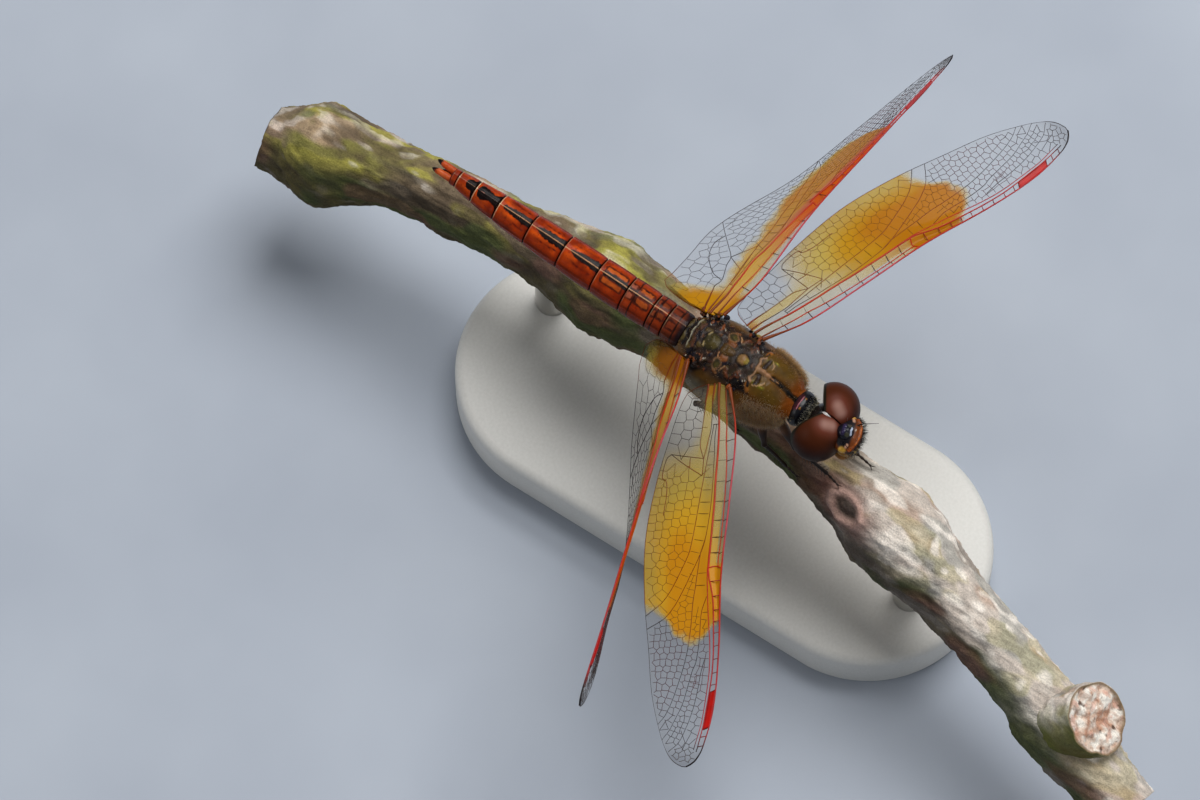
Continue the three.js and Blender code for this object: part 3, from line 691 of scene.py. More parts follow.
PLATE_MARKS = {
    "neck_ring": [
        (None, 0.22, 0.12, [[0, -5.95, 1.75], [0.8, -5.85, 1.4]]),
        ("0e0e13", 0.3, 0.03, [[0, -5.6, 2.0], [0.7, -5.5, 1.7]]),
        ("34161c", 0.17, 0.0, [[0, -5.12, 2.0], [0.55, -5.12, 1.9]]),
        ("a4606a", 0.045, 0.06, [[0, -5.27, 2.0], [0.4, -5.28, 1.95], [0.52, -5.3, 1.85]]),
        ("8a5a1c", 0.09, 0.04, [[0.36, -5.45, 1.95]]),
        ("7c8088", 0.03, 0.03, [[0.92, -5.1, 1.5], [1.0, -5.15, 1.1]]),
        ("5a4a3a", 0.12, 0.06, [[0.95, -5.3, 1.2], [1.0, -5.3, 0.6]]),
    ],
    "head_back": [("3a3428", 0.4, 0.04, [[0.9, -6.0, 0.9]]), ("b9a878", 0.16, 0.03, [[1.1, -6.2, -0.4]])],
    "vertex": [
        (None, 0.2, 0.08, [[0.2, -8.35, 2.7]]),
        ("2c2444", 0.16, 0.0, [[0.05, -8.3, 2.72], [0.3, -8.3, 2.6]]),
        ("3c3b2c", 0.2, 0.02, [[0.3, -8.55, 2.6]]),
        # Painted highlights: a blue-white glint on the vertex.
        ("aab4c8", 0.1, 0.03, [[0.02, -8.72, 2.62], [0.22, -8.76, 2.56]]),
        ("e4e8f0", 0.05, 0.02, [[0.1, -8.76, 2.6]]),
        ("b0682a", 0.06, 0.02, [[0.42, -8.62, 2.45]]),
    ],
    "forehead": [
        ("110d12", 0.62, -0.08, [[0, -8.45, 2.5], [0.62, -8.42, 2.3]]),
        ("94450f", 0.15, 0.14, [[0, -9.3, 2.1], [0.5, -9.2, 2.08], [0.98, -8.92, 2.0]]),
        # Painted highlight: a paler line along the top of the orange ridge.
        ("a85a20", 0.05, 0.03, [[0.1, -9.3, 2.2], [0.6, -9.2, 2.16]]),
        ("b0846a", 0.12, 0.03, [[0.8, -8.74, 2.25], [0.92, -8.66, 2.15]]),
        ("0f0b0c", 0.035, -0.03, [[0.75, -8.7, 2.25], [1.1, -8.72, 1.8], [1.15, -8.95, 1.5]]),
        ("bd9038", 0.32, 0.05, [[1.1, -8.5, 1.95]]),
        ("241408", 0.05, 0.0, [[1.1, -8.1, 2.0], [1.25, -8.3, 1.6]]),
        # Painted highlight: a small cream glint beside the ridge.
        ("d8c8b0", 0.06, 0.03, [[0.22, -9.0, 2.36]]),
        ("4a2110", 0.14, 0.0, [[0, -9.5, 1.6], [0.6, -9.35, 1.55], [1.0, -9.0, 1.5]]),
    ],
    "upper_face": [("c09a4e", 0.35, 0.05, [[0.5, -9.2, 0.9]]),
                   ("4a2c16", 0.05, -0.04, [[0, -9.4, 1.15], [1, -8.9, 1.1]])],
    "upper_lip": [("5e3a1a", 0.08, -0.04, [[0, -9.2, 0.4], [0.9, -8.8, 0.4]]),
                  ("b08444", 0.25, 0.04, [[0.4, -9.05, 0.1]])],
    "lower_lip": [("2a1a12", 0.1, -0.06, [[0, -8.8, -0.7], [0, -7.0, -1.2]]),
                  ("a07c40", 0.4, 0.05, [[0.6, -8.0, -1.0]])],
}
FACE = {"worked_at": [0, -8.55], "held_at": [-0.17, -8.8], "turn": math.radians(16)}


def held(points):
    """The face as the animal holds it: turned to its left about an upright line, and moved a
    little forward and to the right of the neck's line."""
    across, along = points[..., 0] - FACE["worked_at"][0], points[..., 1] - FACE["worked_at"][1]
    cosine, sine = math.cos(FACE["turn"]), math.sin(FACE["turn"])
    return np.stack([FACE["held_at"][0] + cosine * across - sine * along,
                     FACE["held_at"][1] + sine * across + cosine * along, points[..., 2]], -1)


def ball_rings(middle, radii, rows=72, around=96):
    """An ellipsoid as rings from its front pole to its rear pole: a ring's size is the sine of its
    turn from the pole and its place along Y is the cosine."""
    tip = np.linspace(0.02, np.pi - 0.02, rows)[:, None] * np.ones(around)
    turn = np.linspace(0, 2 * np.pi, around, endpoint=False) * np.ones((rows, 1))
    unit_ball = np.stack([np.sin(tip) * np.sin(turn), -np.cos(tip), np.sin(tip) * np.cos(turn)], -1)
    return np.array(middle) + unit_ball * radii


# Black head cuticle has a metallic, blue-grey gloss; the face plates are a waxy, paler horn.
black_shell = cuticle("black_glossy_cuticle", roughness=0.28, shine=0.26, mottle=0.3, pit=0.06)
horn = cuticle("waxy_face_cuticle", roughness=0.38, shine=0.16, mottle=0.25, pit=0.05)
for plates, material, slot in ((DARK_PLATES, black_shell, "dark_shell"), (FACE_PLATES, horn, "head_shell")):
    for name, (middle, radii, node, code) in plates.items():
        plate = ball_rings(middle, radii)
        plate, tint = worked(plate, plain(code, plate.shape[:2]), PLATE_MARKS[name])
        if name in ("vertex", "forehead", "upper_face", "upper_lip"):
            plate = held(plate)
        make_piece(name, closed_skin(plate, tint), material, [node])

# The occiput is a small pale wedge set into the notch where the eyes part behind.
WEDGE_X = -0.1
wedge = ball_rings([WEDGE_X, -7.2, 2.80], [0.15, 0.33, 0.13], 24, 32)
wedge[..., 0] = WEDGE_X + (wedge[..., 0] - WEDGE_X) * (0.25 + 0.75 * step(-7.55, -6.95, wedge[..., 1]))
make_piece("occiput", closed_skin(wedge, plain("b9b4b0", wedge.shape[:2])), horn)

# ---- The eyes ----
# Two great domes of many thousand lenses that meet in a seam on the crown. The pigment behind the
# lenses is maroon brown, darker low on the dome and toward the front, and olive black toward the rim; the
# rosy grey beside the seam is a painted highlight.
EYE = {"middle": [0.9, -7.1, 1.2], "radii": [1.75, 1.665, 1.875], "back": -6.95, "sweep": 0.62,
       "rounding": 0.05, "painted_highlight": [[0.70, -7.52, 3.0], [0.50, -7.86, 2.8]]}

# Clear lenses over pigment: a smooth gloss broken by facets 0.045 mm across, which soften it.
lenses, tree, output = new_finish("compound_eye_lenses")
place = add_node(tree, "TexCoord").outputs["Object"]
dye = add_node(tree, "Attribute", attribute_name="tint")
facets = add_node(tree, "TexVoronoi", {"Vector": place, "Scale": 1 / (0.045 * MM)})
relief = add_node(tree, "Bump", {
    "Height": facets.outputs["Distance"], "Strength": 0.12, "Distance": 0.01 * MM}, invert=True)
shader = add_node(tree, "BsdfPrincipled", {
    "Base Color": dye.outputs["Color"], "Roughness": 0.4, "IOR": 1.45, "Specular IOR Level": 0.08,
    "Normal": relief.outputs[0]})
tree.links.new(shader.outputs[0], output.inputs[0])

for name, side in (("eye_dome_left", 1), ("eye_dome_right", -1)):
    dome = ball_rings(EYE["middle"], EYE["radii"], 110, 150)
    dome[..., 0] = np.maximum(dome[..., 0], 0.02)
    back_plane = EYE["back"] + EYE["sweep"] * dome[..., 0]
    before = (back_plane - dome[..., 1]) / EYE["rounding"]
    dome[..., 1] = back_plane - EYE["rounding"] * np.logaddexp(0, before)
    x, y, z = dome[..., 0], dome[..., 1], dome[..., 2]
    crown = distance_to(dome, EYE["painted_highlight"])
    rim = before * EYE["rounding"] / (0.22 + 0.85 * step(2.8, 1.2, z))
    tint = dyed(plain("46200f", x.shape),
                ("220c05", np.maximum(step(2.75, 1.2, z), step(-7.9, -8.6, y) * 0.7)),
                # Painted highlight: rosy grey round a short line beside the seam, palest at its middle.
                ("683426", (1 - step(0.25, 1.15, crown)) * 0.85),
                ("967064", (1 - step(0.03, 0.56, crown)) * 0.92),
                ("1a1a10", np.maximum(1 - step(0.35, 1, rim), 0.8 * step(0.5, -0.5, z))),
                ("200a08", 1 - step(0.02, 0.07, x)))
    dome[..., 0] *= side
    make_piece(name, closed_skin(dome, tint), lenses, [name.replace("_dome", "")])

# ---- The feelers ----
# Short black bristles with a thicker root joint, set between the vertex and the forehead.
FEELERS = {
    "left": [[0.45, -9.02, 2.15], [0.7, -9.27, 2.38], [1.23, -10.14, 2.64]],
    "right": [[-0.72, -8.82, 2.15], [-0.93, -9.03, 2.38], [-1.27, -9.68, 2.62]],
}


def tube(path, radius, around=12):
    """Rings round a path of points: each lies square to the path, with its first point toward the
    side that a level line through the path would have."""
    path = np.asarray(path, float)
    along = unit(np.gradient(path, axis=0))
    side, up = square_to(along, [0.02, 0.03, 1.0])
    spoke = spokes(side[:, None], up[:, None], np.linspace(0, 2 * np.pi, around, endpoint=False))
    return path[:, None] + spoke * np.broadcast_to(radius, len(path))[:, None, None]


def bent(points, count):
    """A smooth path through a few points, with even steps of their number."""
    points = np.array(points, float)
    knots = np.linspace(0, 1, len(points))
    share = np.linspace(0, 1, count)
    return np.stack([smooth(np.stack([knots, points[:, k]], -1), share) for k in range(3)], -1)


for name, places in FEELERS.items():
    path = bent(places, 40)
    share = np.linspace(0, 1, 40)
    thick = 0.085 - 0.045 * step(0.12, 0.3, share) - 0.028 * step(0.3, 1, share)
    thick = thick + 0.02 * np.exp(-((share - 0.2) / 0.05) ** 2)
    rings = domed(tube(path, thick), 0.02, 0.01)
    make_piece(f"feeler_{name}", closed_skin(rings, plain("0d0b0c", rings.shape[:2])), black_shell,
               [f"antenna_{name}"])

# ---- The abdomen ----
# Ten horny rings that slide into each other, orange red and glossy. A cream thread runs down the
# middle between black streaks that widen toward each ring's front; the last rings are black above.
RING_ENDS = [3.05, 4.4, 5.5, 7.45, 9.6, 12.2, 14.7, 17.1, 18.85, 20.15, 20.55]
ABDOMEN = {
    "width": [[3.05, 2.3], [7.0, 2.5], [12.0, 2.36], [16.8, 1.9], [20.3, 1.14]],
    "top": [[3.05, 3.05], [12.0, 3.35], [20.3, 3.7]],
    "midline": [[3.05, 0.02], [12.0, 0.28], [20.3, 0.5]],
    "height_per_width": 0.92,
    "pinch": 0.045,
}
GAP = 0.02
# The black streaks' half width in mm at shares of each ring's length.
STREAKS = {
    3: [[0, 0.13], [0.3, 0.10], [1, 0.08]],
    4: [[0, 0.27], [0.25, 0.24], [0.6, 0.21], [0.82, 0.16], [0.9, 0]],
    5: [[0, 0.40], [0.12, 0.35], [0.35, 0.31], [0.6, 0.27], [0.76, 0.15], [0.84, 0]],
    6: [[0, 0.40], [0.12, 0.36], [0.4, 0.31], [0.65, 0.26], [0.78, 0.13], [0.86, 0]],
    7: [[0, 0.38], [0.1, 0.32], [0.35, 0.30], [0.6, 0.24], [0.8, 0.14], [0.88, 0]],
    8: [[0, 0.70], [0.05, 0.5], [0.14, 0.36], [0.3, 0.32], [0.45, 0.38], [0.65, 0.48], [0.8, 0.44],
        [0.88, 0.24], [0.91, 0]],
    9: [[0, 0.9], [0.06, 0.7], [0.13, 0.42], [0.3, 0.38], [0.42, 0.31], [0.5, 0.14], [0.54, 0]],
}
# Panels between seams on the front rings: start and end as shares of the ring, near and far edge
# beside the midline in mm, and the colour inside.
PANELS = {
    1: [(0.45, 0.95, 0.25, 0.8, "6a2c18")],
    2: [(0.10, 0.60, 0.14, 0.62, "6e3418"), (0.68, 0.95, 0.2, 0.7, "7c3a20")],
    3: [(0.10, 0.62, 0.15, 0.62, "9c4a1c"), (0.72, 0.97, 0.12, 0.56, "94503a")],
    4: [(0.10, 0.84, 0.18, 0.62, "b4561f")],
}
SEAMS = {1: 0.42, 2: 0.64, 3: 0.67}  # a seam across the ring, as a share of its length
PALE_EDGE = {7: 0.8, 8: 1.0, 9: 0.6}
THREAD = {1: 0.25, 8: 0.05, 9: 0.3, 10: 0.3}


def boxed(t, off, start, end, near, far, line):
    """How strongly a point is on the outline of a box with rounded corners, and inside it. The box
    spans from start to end along the ring (in mm) and from near to far beside the midline."""
    half = np.array([(end - start) / 2, (far - near) / 2])
    middle = np.array([(end + start) / 2, (far + near) / 2])
    corner = 0.12
    gap = np.abs(np.stack([t, off], -1) - middle) - (half - corner)
    outside = np.linalg.norm(np.maximum(gap, 0), axis=-1) + np.minimum(gap.max(-1), 0) - corner
    return 1 - step(line * 0.5, line, np.abs(outside)), 1 - step(-line, 0, outside)


# Glazed cuticle: smooth hard rings with a wet gloss over a warm, slightly uneven pigment.
glazed = cuticle("glazed_abdomen_cuticle", roughness=0.3, shine=0.1, mottle=0.4, pit=0.09)
for number, (start, end) in enumerate(zip(RING_ENDS[:-1], RING_ENDS[1:]), 1):
    rows, around = 24 + int(26 * (end - start)), 132
    t = np.linspace(0, 1, rows)[:, None] * np.ones(around)
    turn = np.linspace(-np.pi, np.pi, around, endpoint=False) * np.ones((rows, 1))
    y = start + GAP + (end - start - 2 * GAP) * t
    wide = smooth(ABDOMEN["width"], y) / 2
    high = wide * ABDOMEN["height_per_width"]
    middle_x, middle_z = smooth(ABDOMEN["midline"], y), smooth(ABDOMEN["top"], y) - high
    waist = 1 - ABDOMEN["pinch"] * (2 * t - 1) ** 4 - 0.05 * step(0.03, 0, t) - 0.05 * step(0.985, 1, t)
    off = np.abs(turn) * wide
    long = (end - start) * t
    body = step(0.06, 0.2, t) * step(0.97, 0.85, t)
    relief = -0.035 * np.exp(-((off - 0.62) / 0.2) ** 2) * body + 0.03 * np.exp(-((off - 1.32) / 0.08) ** 2)
    relief = relief + 0.02 * np.exp(-(off / 0.07) ** 2) + 0.02 * step(0.9, 0.95, t) * step(1, 0.97, t)
    ring = np.stack([middle_x + (wide * waist + relief) * np.sin(turn), y,
                     middle_z + (high * waist + relief) * np.cos(turn)], -1)
    rough = swirl(ring, 0.16, 20 + number)
    broad = swirl(ring, 0.6, 40 + number)

    blotch = np.clip(0.5 + 0.9 * broad, 0, 1)
    tint = dyed(plain("a43507", t.shape),
                # Painted highlight: a lighter band along the top of each ring, broken up by noise.
                ("cc4f10", step(0.12, 0.3, off) * step(0.95, 0.6, off) * body * blotch * 0.8),
                # Painted shade: a darker band in the dimple beside the midline.
                ("6c1a05", (1 - step(0.04, 0.26, np.abs(off - 0.68 + 0.1 * broad))) * body * 0.5),
                ("691804", (1 - blotch) * 0.6),
                # Painted shade: each ring darkens toward its sides and underneath.
                ("7a2408", step(0.95, 1.3, off) * 0.8),
                ("55220f", step(1.5, 2.2, off)),
                # Painted shade: darker at each ring's front, where it slides under the ring before.
                ("701a06", step(0.16, 0.02, t) * step(0.1, 0.3, off) * 0.5),
                ("4e2412", np.full(t.shape, {1: 0.75, 2: 0.5, 3: 0.25}.get(number, 0)) * (0.8 + 0.5 * broad)),
                ("1c1012", step(3.85, 3.35, y + 0.25 * broad)),
                ("2b0f08", (1 - step(0.02, 0.08, np.abs(off - 1.22))) * 0.6 * body),
                ("4a1206", step(0.5, 0.7, swirl(ring, 0.09, 60 + number)) * body * 0.5))

    for begin, finish, near, far, code in PANELS.get(number, ()):
        outline, inside = boxed(long + 0.07 * rough, off + 0.06 * rough, begin * (end - start),
                                finish * (end - start), near, far, 0.1)
        tint = dyed(tint,
                    (code, inside * (0.75 + 0.3 * broad)),
                    ("30100a", outline * (0.8 + 0.25 * rough)))
    if number in SEAMS:
        keel = np.abs(long - SEAMS[number] * (end - start) + 0.03 * rough)
        tint = dyed(tint, ("1c0a06", (1 - step(0.03, 0.08, keel)) * 0.9))
    if number in (5, 6, 7):
        dash = 1 - step(0.03, 0.09, np.abs(off - 0.64 + 0.12 * broad))
        dash = dash * step(0.05, 0.15, t) * step(0.8, 0.6, t)
        tint = dyed(tint, ("520f05", dash * np.clip(0.55 + 0.8 * rough, 0, 1)))
    if number in STREAKS:
        half = smooth(STREAKS[number], t)
        half = half + (0.06 * rough + 0.05 * swirl(ring, 0.4, 80 + number)) * (half > 0.02)
        tint = dyed(tint, ("100605", (1 - step(-0.025, 0.025, off - half)) * (half > 0.01)))
    if number == 8:
        tint = dyed(tint, ("8a5240", (1 - step(0.5, 1.0, np.hypot(off / 0.035, (t - 0.7) / 0.1))) * 0.8))
    tint = dyed(tint, ("c08c60", (1 - step(0.012, 0.034, off)) * THREAD.get(number, 0.9)))
    edge = PALE_EDGE.get(number, 0.25)
    # Painted highlight: a pale glint on the node at the rear of the thread.
    node_glint = 1 - step(0.5, 1.0, np.hypot(off / 0.08, (long - (end - start) + 0.05) / 0.08))
    tint = dyed(tint, ("ead9bd", node_glint * min(1, edge * 1.3)))
    pale = (1 - step(0.012, 0.034, np.abs(long - (end - start) + 0.07))) * step(1.3, 0.7, off)
    tint = dyed(tint, ("d8bd94", pale * edge * (0.75 + 0.5 * rough)))
    brink = np.minimum(long, end - start - long)
    tint = dyed(tint, ("160906", (1 - step(0.015, 0.05, brink)) * 0.9))
    if number == 10:
        tint = dyed(tint, ("701e0e", np.full(t.shape, 0.6)))

    ring = domed(ring, 0.02, 0.02 if number < 10 else 0.12)
    make_piece(f"abdomen_ring_{number}", closed_skin(ring, capped(tint)), glazed,
               [f"abdomen_s{number}"])

# ---- The claspers ----
# Three pointed hooks at the tail: an upper pair, orange with black points, over a broader one.
CLASPERS = {"apart": 0.28, "below": 0.5, "rise": 0.17}
TAIL = RING_ENDS[-1] + 0.04
for name, side, drop, length, node in (
        ("upper_clasper_left", 1, 0, 1.3, "cercus_left"),
        ("upper_clasper_right", -1, 0, 1.3, "cercus_right"),
        ("lower_clasper", 0, 0.42, 0.85, "epiproct")):
    share = np.linspace(0, 1, 40)
    rise = length * CLASPERS["rise"] * share
    path = np.stack([smooth(ABDOMEN["midline"], TAIL) + side * (CLASPERS["apart"] + 0.05 * share ** 2),
                     TAIL - 0.15 + (length + 0.15) * share,
                     smooth(ABDOMEN["top"], TAIL) - CLASPERS["below"] - drop + rise], -1)
    radius = (0.22 if side else 0.26) * np.clip(1 - share ** 4, 0, 1) ** 0.6 + 0.012
    hook = domed(tube(path, radius, 28), 0.02, 0.01)
    point = (hook[..., 1] - TAIL) / length + 0.12 * swirl(hook, 0.12, 91)
    tint = dyed(plain("b5481c" if side else "a85a26", hook.shape[:2]),
                ("d0703c", np.clip(swirl(hook, 0.25, 90), 0, 1) * 0.6),
                ("0f0706", step(0.68, 0.8, point)))
    make_piece(name, closed_skin(hook, tint), glazed, [node])

# ---- The wings ----
# Four stiff sheets of clear cuticle, a few thousandths of a millimetre thick and pleated along
# their front edges, on a frame of hollow veins. The inner two thirds are stained amber, the front
# veins are red, and a red stigma weighs each tip.
FORE_PLAN = {
    "lead": [[0, 0], [0.12, 0.031], [0.3, 0.035], [0.5, 0.034], [0.7, 0.049], [0.85, 0.05], [0.95, 0.033],
             [0.98, 0.02], [0.993, 0.008], [1, -0.003]],
    "trail": [[0, 0.115], [0.04, 0.135], [0.12, 0.155], [0.25, 0.179], [0.4, 0.188], [0.55, 0.17],
              [0.7, 0.138], [0.82, 0.113], [0.92, 0.079], [0.96, 0.06], [0.98, 0.046],
              [0.993, 0.03], [1, 0.014]],
}
HIND_PLAN = {
    "lead": [[0, 0.02], [0.15, 0.041], [0.4, 0.02], [0.65, 0.025], [0.85, 0.029], [0.95, 0.025],
             [0.985, 0.012], [1, -0.002]],
    "trail": [[0, 0.189], [0.04, 0.193], [0.12, 0.215], [0.25, 0.27], [0.4, 0.295], [0.55, 0.267],
              [0.7, 0.214], [0.82, 0.154], [0.92, 0.09], [0.96, 0.06], [0.985, 0.034], [1, 0.012]],
}
INNER_EDGE = {  # where the sheet starts: share of the chord, then share of the span
    "forewing_left": [[0, 0.0], [0.3, 0.0], [0.6, 0.0], [0.9, 0.004], [1, 0.014]],
    "forewing_right": [[0, 0.0], [0.3, -0.01], [0.6, -0.01], [0.9, 0.0], [1, 0.012]],
    "hindwing_left": [[0, 0.0], [0.2, -0.018], [0.6, -0.024], [0.9, -0.016], [1, -0.002]],
    "hindwing_right": [[0, 0.0], [0.2, -0.02], [0.5, -0.055], [0.8, -0.075], [1, -0.06]],
}
# The three amber shades of each wing (pale, deep, root) differ from wing to wing as painted light and shade,
# for how each wing is lit and what lies behind it; the dark root of the right hindwing is painted shade.
WINGS = {
    "forewing_left": {"hinge": [1.8, -1.3, 2.9], "span": [22.65, -8.27, -1.5], "pitch": [16, 15, 8, -1, -8],
                      "amber": ["b98712", "ae6a04", "a86a08"]},
    "forewing_right": {"hinge": [-1.8, -1.3, 2.9], "span": [-21.49, -10.7, -1.5],
                       "pitch": [26, 24, 20, 15, 8], "amber": ["cf9f26", "c88410", "a86410"]},
    "hindwing_left": {"hinge": [1.9, 2.0, 2.8], "span": [22.84, -2.88, -1.0], "pitch": [16, 40, 56, 60, 60],
                      "amber": ["c79a20", "bd780c", "b8800e"]},
    "hindwing_right": {"hinge": [-1.9, 2.0, 2.8], "span": [-21.76, -6.51, -1.0],
                       "pitch": [47, 72, 84, 87, 97], "amber": ["c69622", "b0680c", "844c04"]},
}
SPAN = 24.0  # the span at which veins are laid out

# Long veins as places on the wing: share of the span, then share of the chord from the front edge.
NODUS = {"fore": 0.482, "hind": 0.42}
OUTER_VEINS = {  # beyond the nodus both wings are built alike
    "radius_1": [(0.482, 0.17), (0.504, 0.155), (0.533, 0.12), (0.57, 0.09), (0.64, 0.08), (0.75, 0.075),
                 (0.85, 0.115), (0.90, 0.12), (0.96, 0.13)],
    "sector_1": [(0.482, 0.18), (0.55, 0.165), (0.62, 0.15), (0.68, 0.13), (0.75, 0.12), (0.84, 0.15),
                 (0.90, 0.17), (0.955, 0.22)],
    "sector_2": [(0.556, 0.18), (0.60, 0.25), (0.67, 0.28), (0.725, 0.32), (0.75, 0.37), (0.79, 0.43),
                 (0.84, 0.52), (0.88, 0.66), (0.91, 0.80), (0.935, 1.0)],
    "zigzag": [(0.72, 0.20), (0.76, 0.25), (0.80, 0.28), (0.85, 0.34), (0.90, 0.45), (0.94, 0.62),
               (0.965, 0.95)],
    "between_2": [(0.44, 0.29), (0.49, 0.31), (0.53, 0.33), (0.57, 0.36), (0.62, 0.385), (0.65, 0.405),
                  (0.71, 0.46), (0.77, 0.55), (0.83, 0.68), (0.87, 0.83), (0.895, 1.0)],
    "sector_3": [(0.39, 0.24), (0.42, 0.26), (0.46, 0.32), (0.50, 0.40), (0.54, 0.49), (0.58, 0.60),
                 (0.615, 0.75), (0.645, 1.0)],
}
INNER_VEINS = {
    "fore": {
        "subcosta": [(0.0, 0.12), (0.08, 0.15), (0.14, 0.15), (0.19, 0.12), (0.25, 0.09), (0.30, 0.075),
                     (0.40, 0.06), (0.47, 0.06), (0.482, 0.0)],
        "radius": [(0.0, 0.26), (0.08, 0.26), (0.13, 0.25), (0.19, 0.23), (0.25, 0.21), (0.30, 0.19),
                   (0.35, 0.18), (0.41, 0.17), (0.482, 0.17)],
        "sector": [(0.10, 0.30), (0.135, 0.31), (0.185, 0.28), (0.27, 0.24), (0.33, 0.23), (0.39, 0.24),
                   (0.42, 0.265), (0.44, 0.29)],
        "media": [(0.10, 0.35), (0.14, 0.37), (0.21, 0.38), (0.30, 0.39), (0.37, 0.40), (0.42, 0.42),
                  (0.45, 0.45), (0.50, 0.55), (0.54, 0.65), (0.575, 0.78), (0.61, 1.0)],
        "cubitus": [(0.0, 0.40), (0.06, 0.39), (0.11, 0.39), (0.14, 0.41), (0.189, 0.43)],
        "anal": [(0.0, 0.56), (0.05, 0.53), (0.11, 0.53), (0.15, 0.52), (0.17, 0.48), (0.189, 0.43)],
        "triangle_side": [(0.189, 0.43), (0.183, 0.66), (0.176, 0.90)],
        "triangle_front": [(0.189, 0.43), (0.21, 0.42), (0.235, 0.41)],
        "triangle_slope": [(0.235, 0.41), (0.205, 0.67), (0.176, 0.90)],
        "triangle_tail": [(0.176, 0.90), (0.19, 0.95), (0.236, 0.94), (0.25, 0.87), (0.285, 0.83),
                          (0.34, 0.82)],
        "triangle_bar": [(0.187, 0.62), (0.213, 0.60)],
        "arculus": [(0.10, 0.26), (0.10, 0.36)],
        "nodal_bar": [(0.482, 0.0), (0.475, 0.09), (0.482, 0.17)],
    },
    "hind": {
        "subcosta": [(-0.008, 0.09), (0.09, 0.15), (0.18, 0.14), (0.29, 0.11), (0.40, 0.07), (0.42, 0.0)],
        "radius": [(-0.014, 0.165), (0.05, 0.19), (0.10, 0.23), (0.18, 0.25), (0.23, 0.21), (0.30, 0.18),
                   (0.36, 0.15), (0.42, 0.12)],
        "sector": [(0.09, 0.27), (0.14, 0.28), (0.20, 0.27), (0.28, 0.23), (0.33, 0.24), (0.37, 0.29)],
        "media": [(0.09, 0.29), (0.16, 0.32), (0.236, 0.345), (0.31, 0.36), (0.39, 0.44), (0.43, 0.49),
                  (0.50, 0.66), (0.56, 0.84), (0.60, 1.0)],
        "cubitus": [(-0.017, 0.20), (0.05, 0.26), (0.10, 0.30), (0.145, 0.33)],
        "anal": [(-0.019, 0.26), (0.048, 0.40), (0.066, 0.43), (0.09, 0.42), (0.137, 0.51), (0.169, 0.54),
                 (0.20, 0.66), (0.245, 0.85), (0.28, 1.0)],
        "triangle_side": [(0.145, 0.33), (0.157, 0.44), (0.169, 0.54)],
        "triangle_front": [(0.145, 0.33), (0.19, 0.335), (0.236, 0.345)],
        "triangle_slope": [(0.236, 0.345), (0.20, 0.45), (0.169, 0.54)],
        "anal_loop": [(0.09, 0.43), (0.10, 0.60), (0.14, 0.78), (0.19, 0.84), (0.23, 0.80)],
        "arculus": [(0.09, 0.22), (0.09, 0.30)],
        "nodal_bar": [(0.42, 0.0), (0.415, 0.06), (0.42, 0.12)],
    },
}
RED_VEINS = {"costa": 0.055, "radius": 0.062, "subcosta": 0.038, "radius_1": 0.045, "sector_1": 0.034,
             "nodal_bar": 0.04}
STIGMA_PLUMP = 0.09
ROOT_SWELL = {"costa": 1.3, "radius": 0.5, "subcosta": 0.6, "cubitus": 1.6, "anal": 1.8}
LONG_VEIN, CROSS_VEIN, MARGIN_VEIN = 0.024, 0.0165, 0.018

# Fields of cells: the veins in front and behind, each from one share of the span to another, and
# the cells' size along and across, in mm at the laying-out span. "trail_tip" is the part of the
# trailing edge beyond the inner edge's foot.
OUTER_FIELDS = [
    ([("radius_1", 0.50, 0.95)], [("sector_1", 0.51, 0.95)], 0.84, 1.0),
    ([("sector_1", 0.57, 0.93)], [("sector_2", 0.58, 0.80), ("zigzag", 0.80, 0.93)], 0.5, 0.42),
    ([("zigzag", 0.74, 0.955)], [("sector_2", 0.76, 0.925)], 0.34, 0.33),
    ([("sector_1", 0.93, 0.955), ("costa", 0.98, 0.999)],
     [("zigzag", 0.93, 0.96), ("trail_tip", 0.97, 0.999)], 0.36, 0.36),
    ([("sector_2", 0.58, 0.925)], [("between_2", 0.60, 0.89)], 0.44, 0.36),
    ([("between_2", 0.47, 0.885)], [("sector_3", 0.49, 0.64), ("trail", 0.67, 0.875)], 0.45, 0.42),
]
INNER_FIELDS = {
    "fore": [
        ([("sector", 0.14, 0.42), ("sector_3", 0.44, 0.63)], [("media", 0.14, 0.60)], 0.8, 1.5),
        ([("radius", 0.14, 0.47)], [("sector", 0.14, 0.43)], 1.2, 1.5),
        ([("radius", 0.47, 0.482), ("sector_1", 0.49, 0.56)], [("between_2", 0.45, 0.56)], 0.75, 1.5),
        ([("media", 0.24, 0.60)], [("trail", 0.20, 0.59)], 0.56, 0.56),
        ([("cubitus", 0.02, 0.18)], [("anal", 0.02, 0.18)], 1.9, 1.5),
        ([("anal", 0.0, 0.17)], [("trail", -0.01, 0.17)], 0.66, 0.7),
    ],
    "hind": [
        ([("sector", 0.12, 0.34), ("sector_3", 0.39, 0.59)], [("media", 0.12, 0.59)], 0.85, 1.5),
        ([("radius", 0.12, 0.41)], [("sector", 0.12, 0.36)], 1.2, 1.5),
        ([("radius", 0.40, 0.42), ("sector_1", 0.43, 0.50)], [("between_2", 0.39, 0.50)], 0.75, 1.5),
        ([("media", 0.25, 0.59)], [("anal", 0.18, 0.27), ("trail", 0.30, 0.59)], 0.62, 0.6),
        ([("cubitus", -0.01, 0.14)], [("anal", -0.01, 0.14)], 1.5, 1.5),
        ([("anal", -0.02, 0.24)], [("trail", -0.03, 0.26)], 0.7, 0.72),
    ],
}
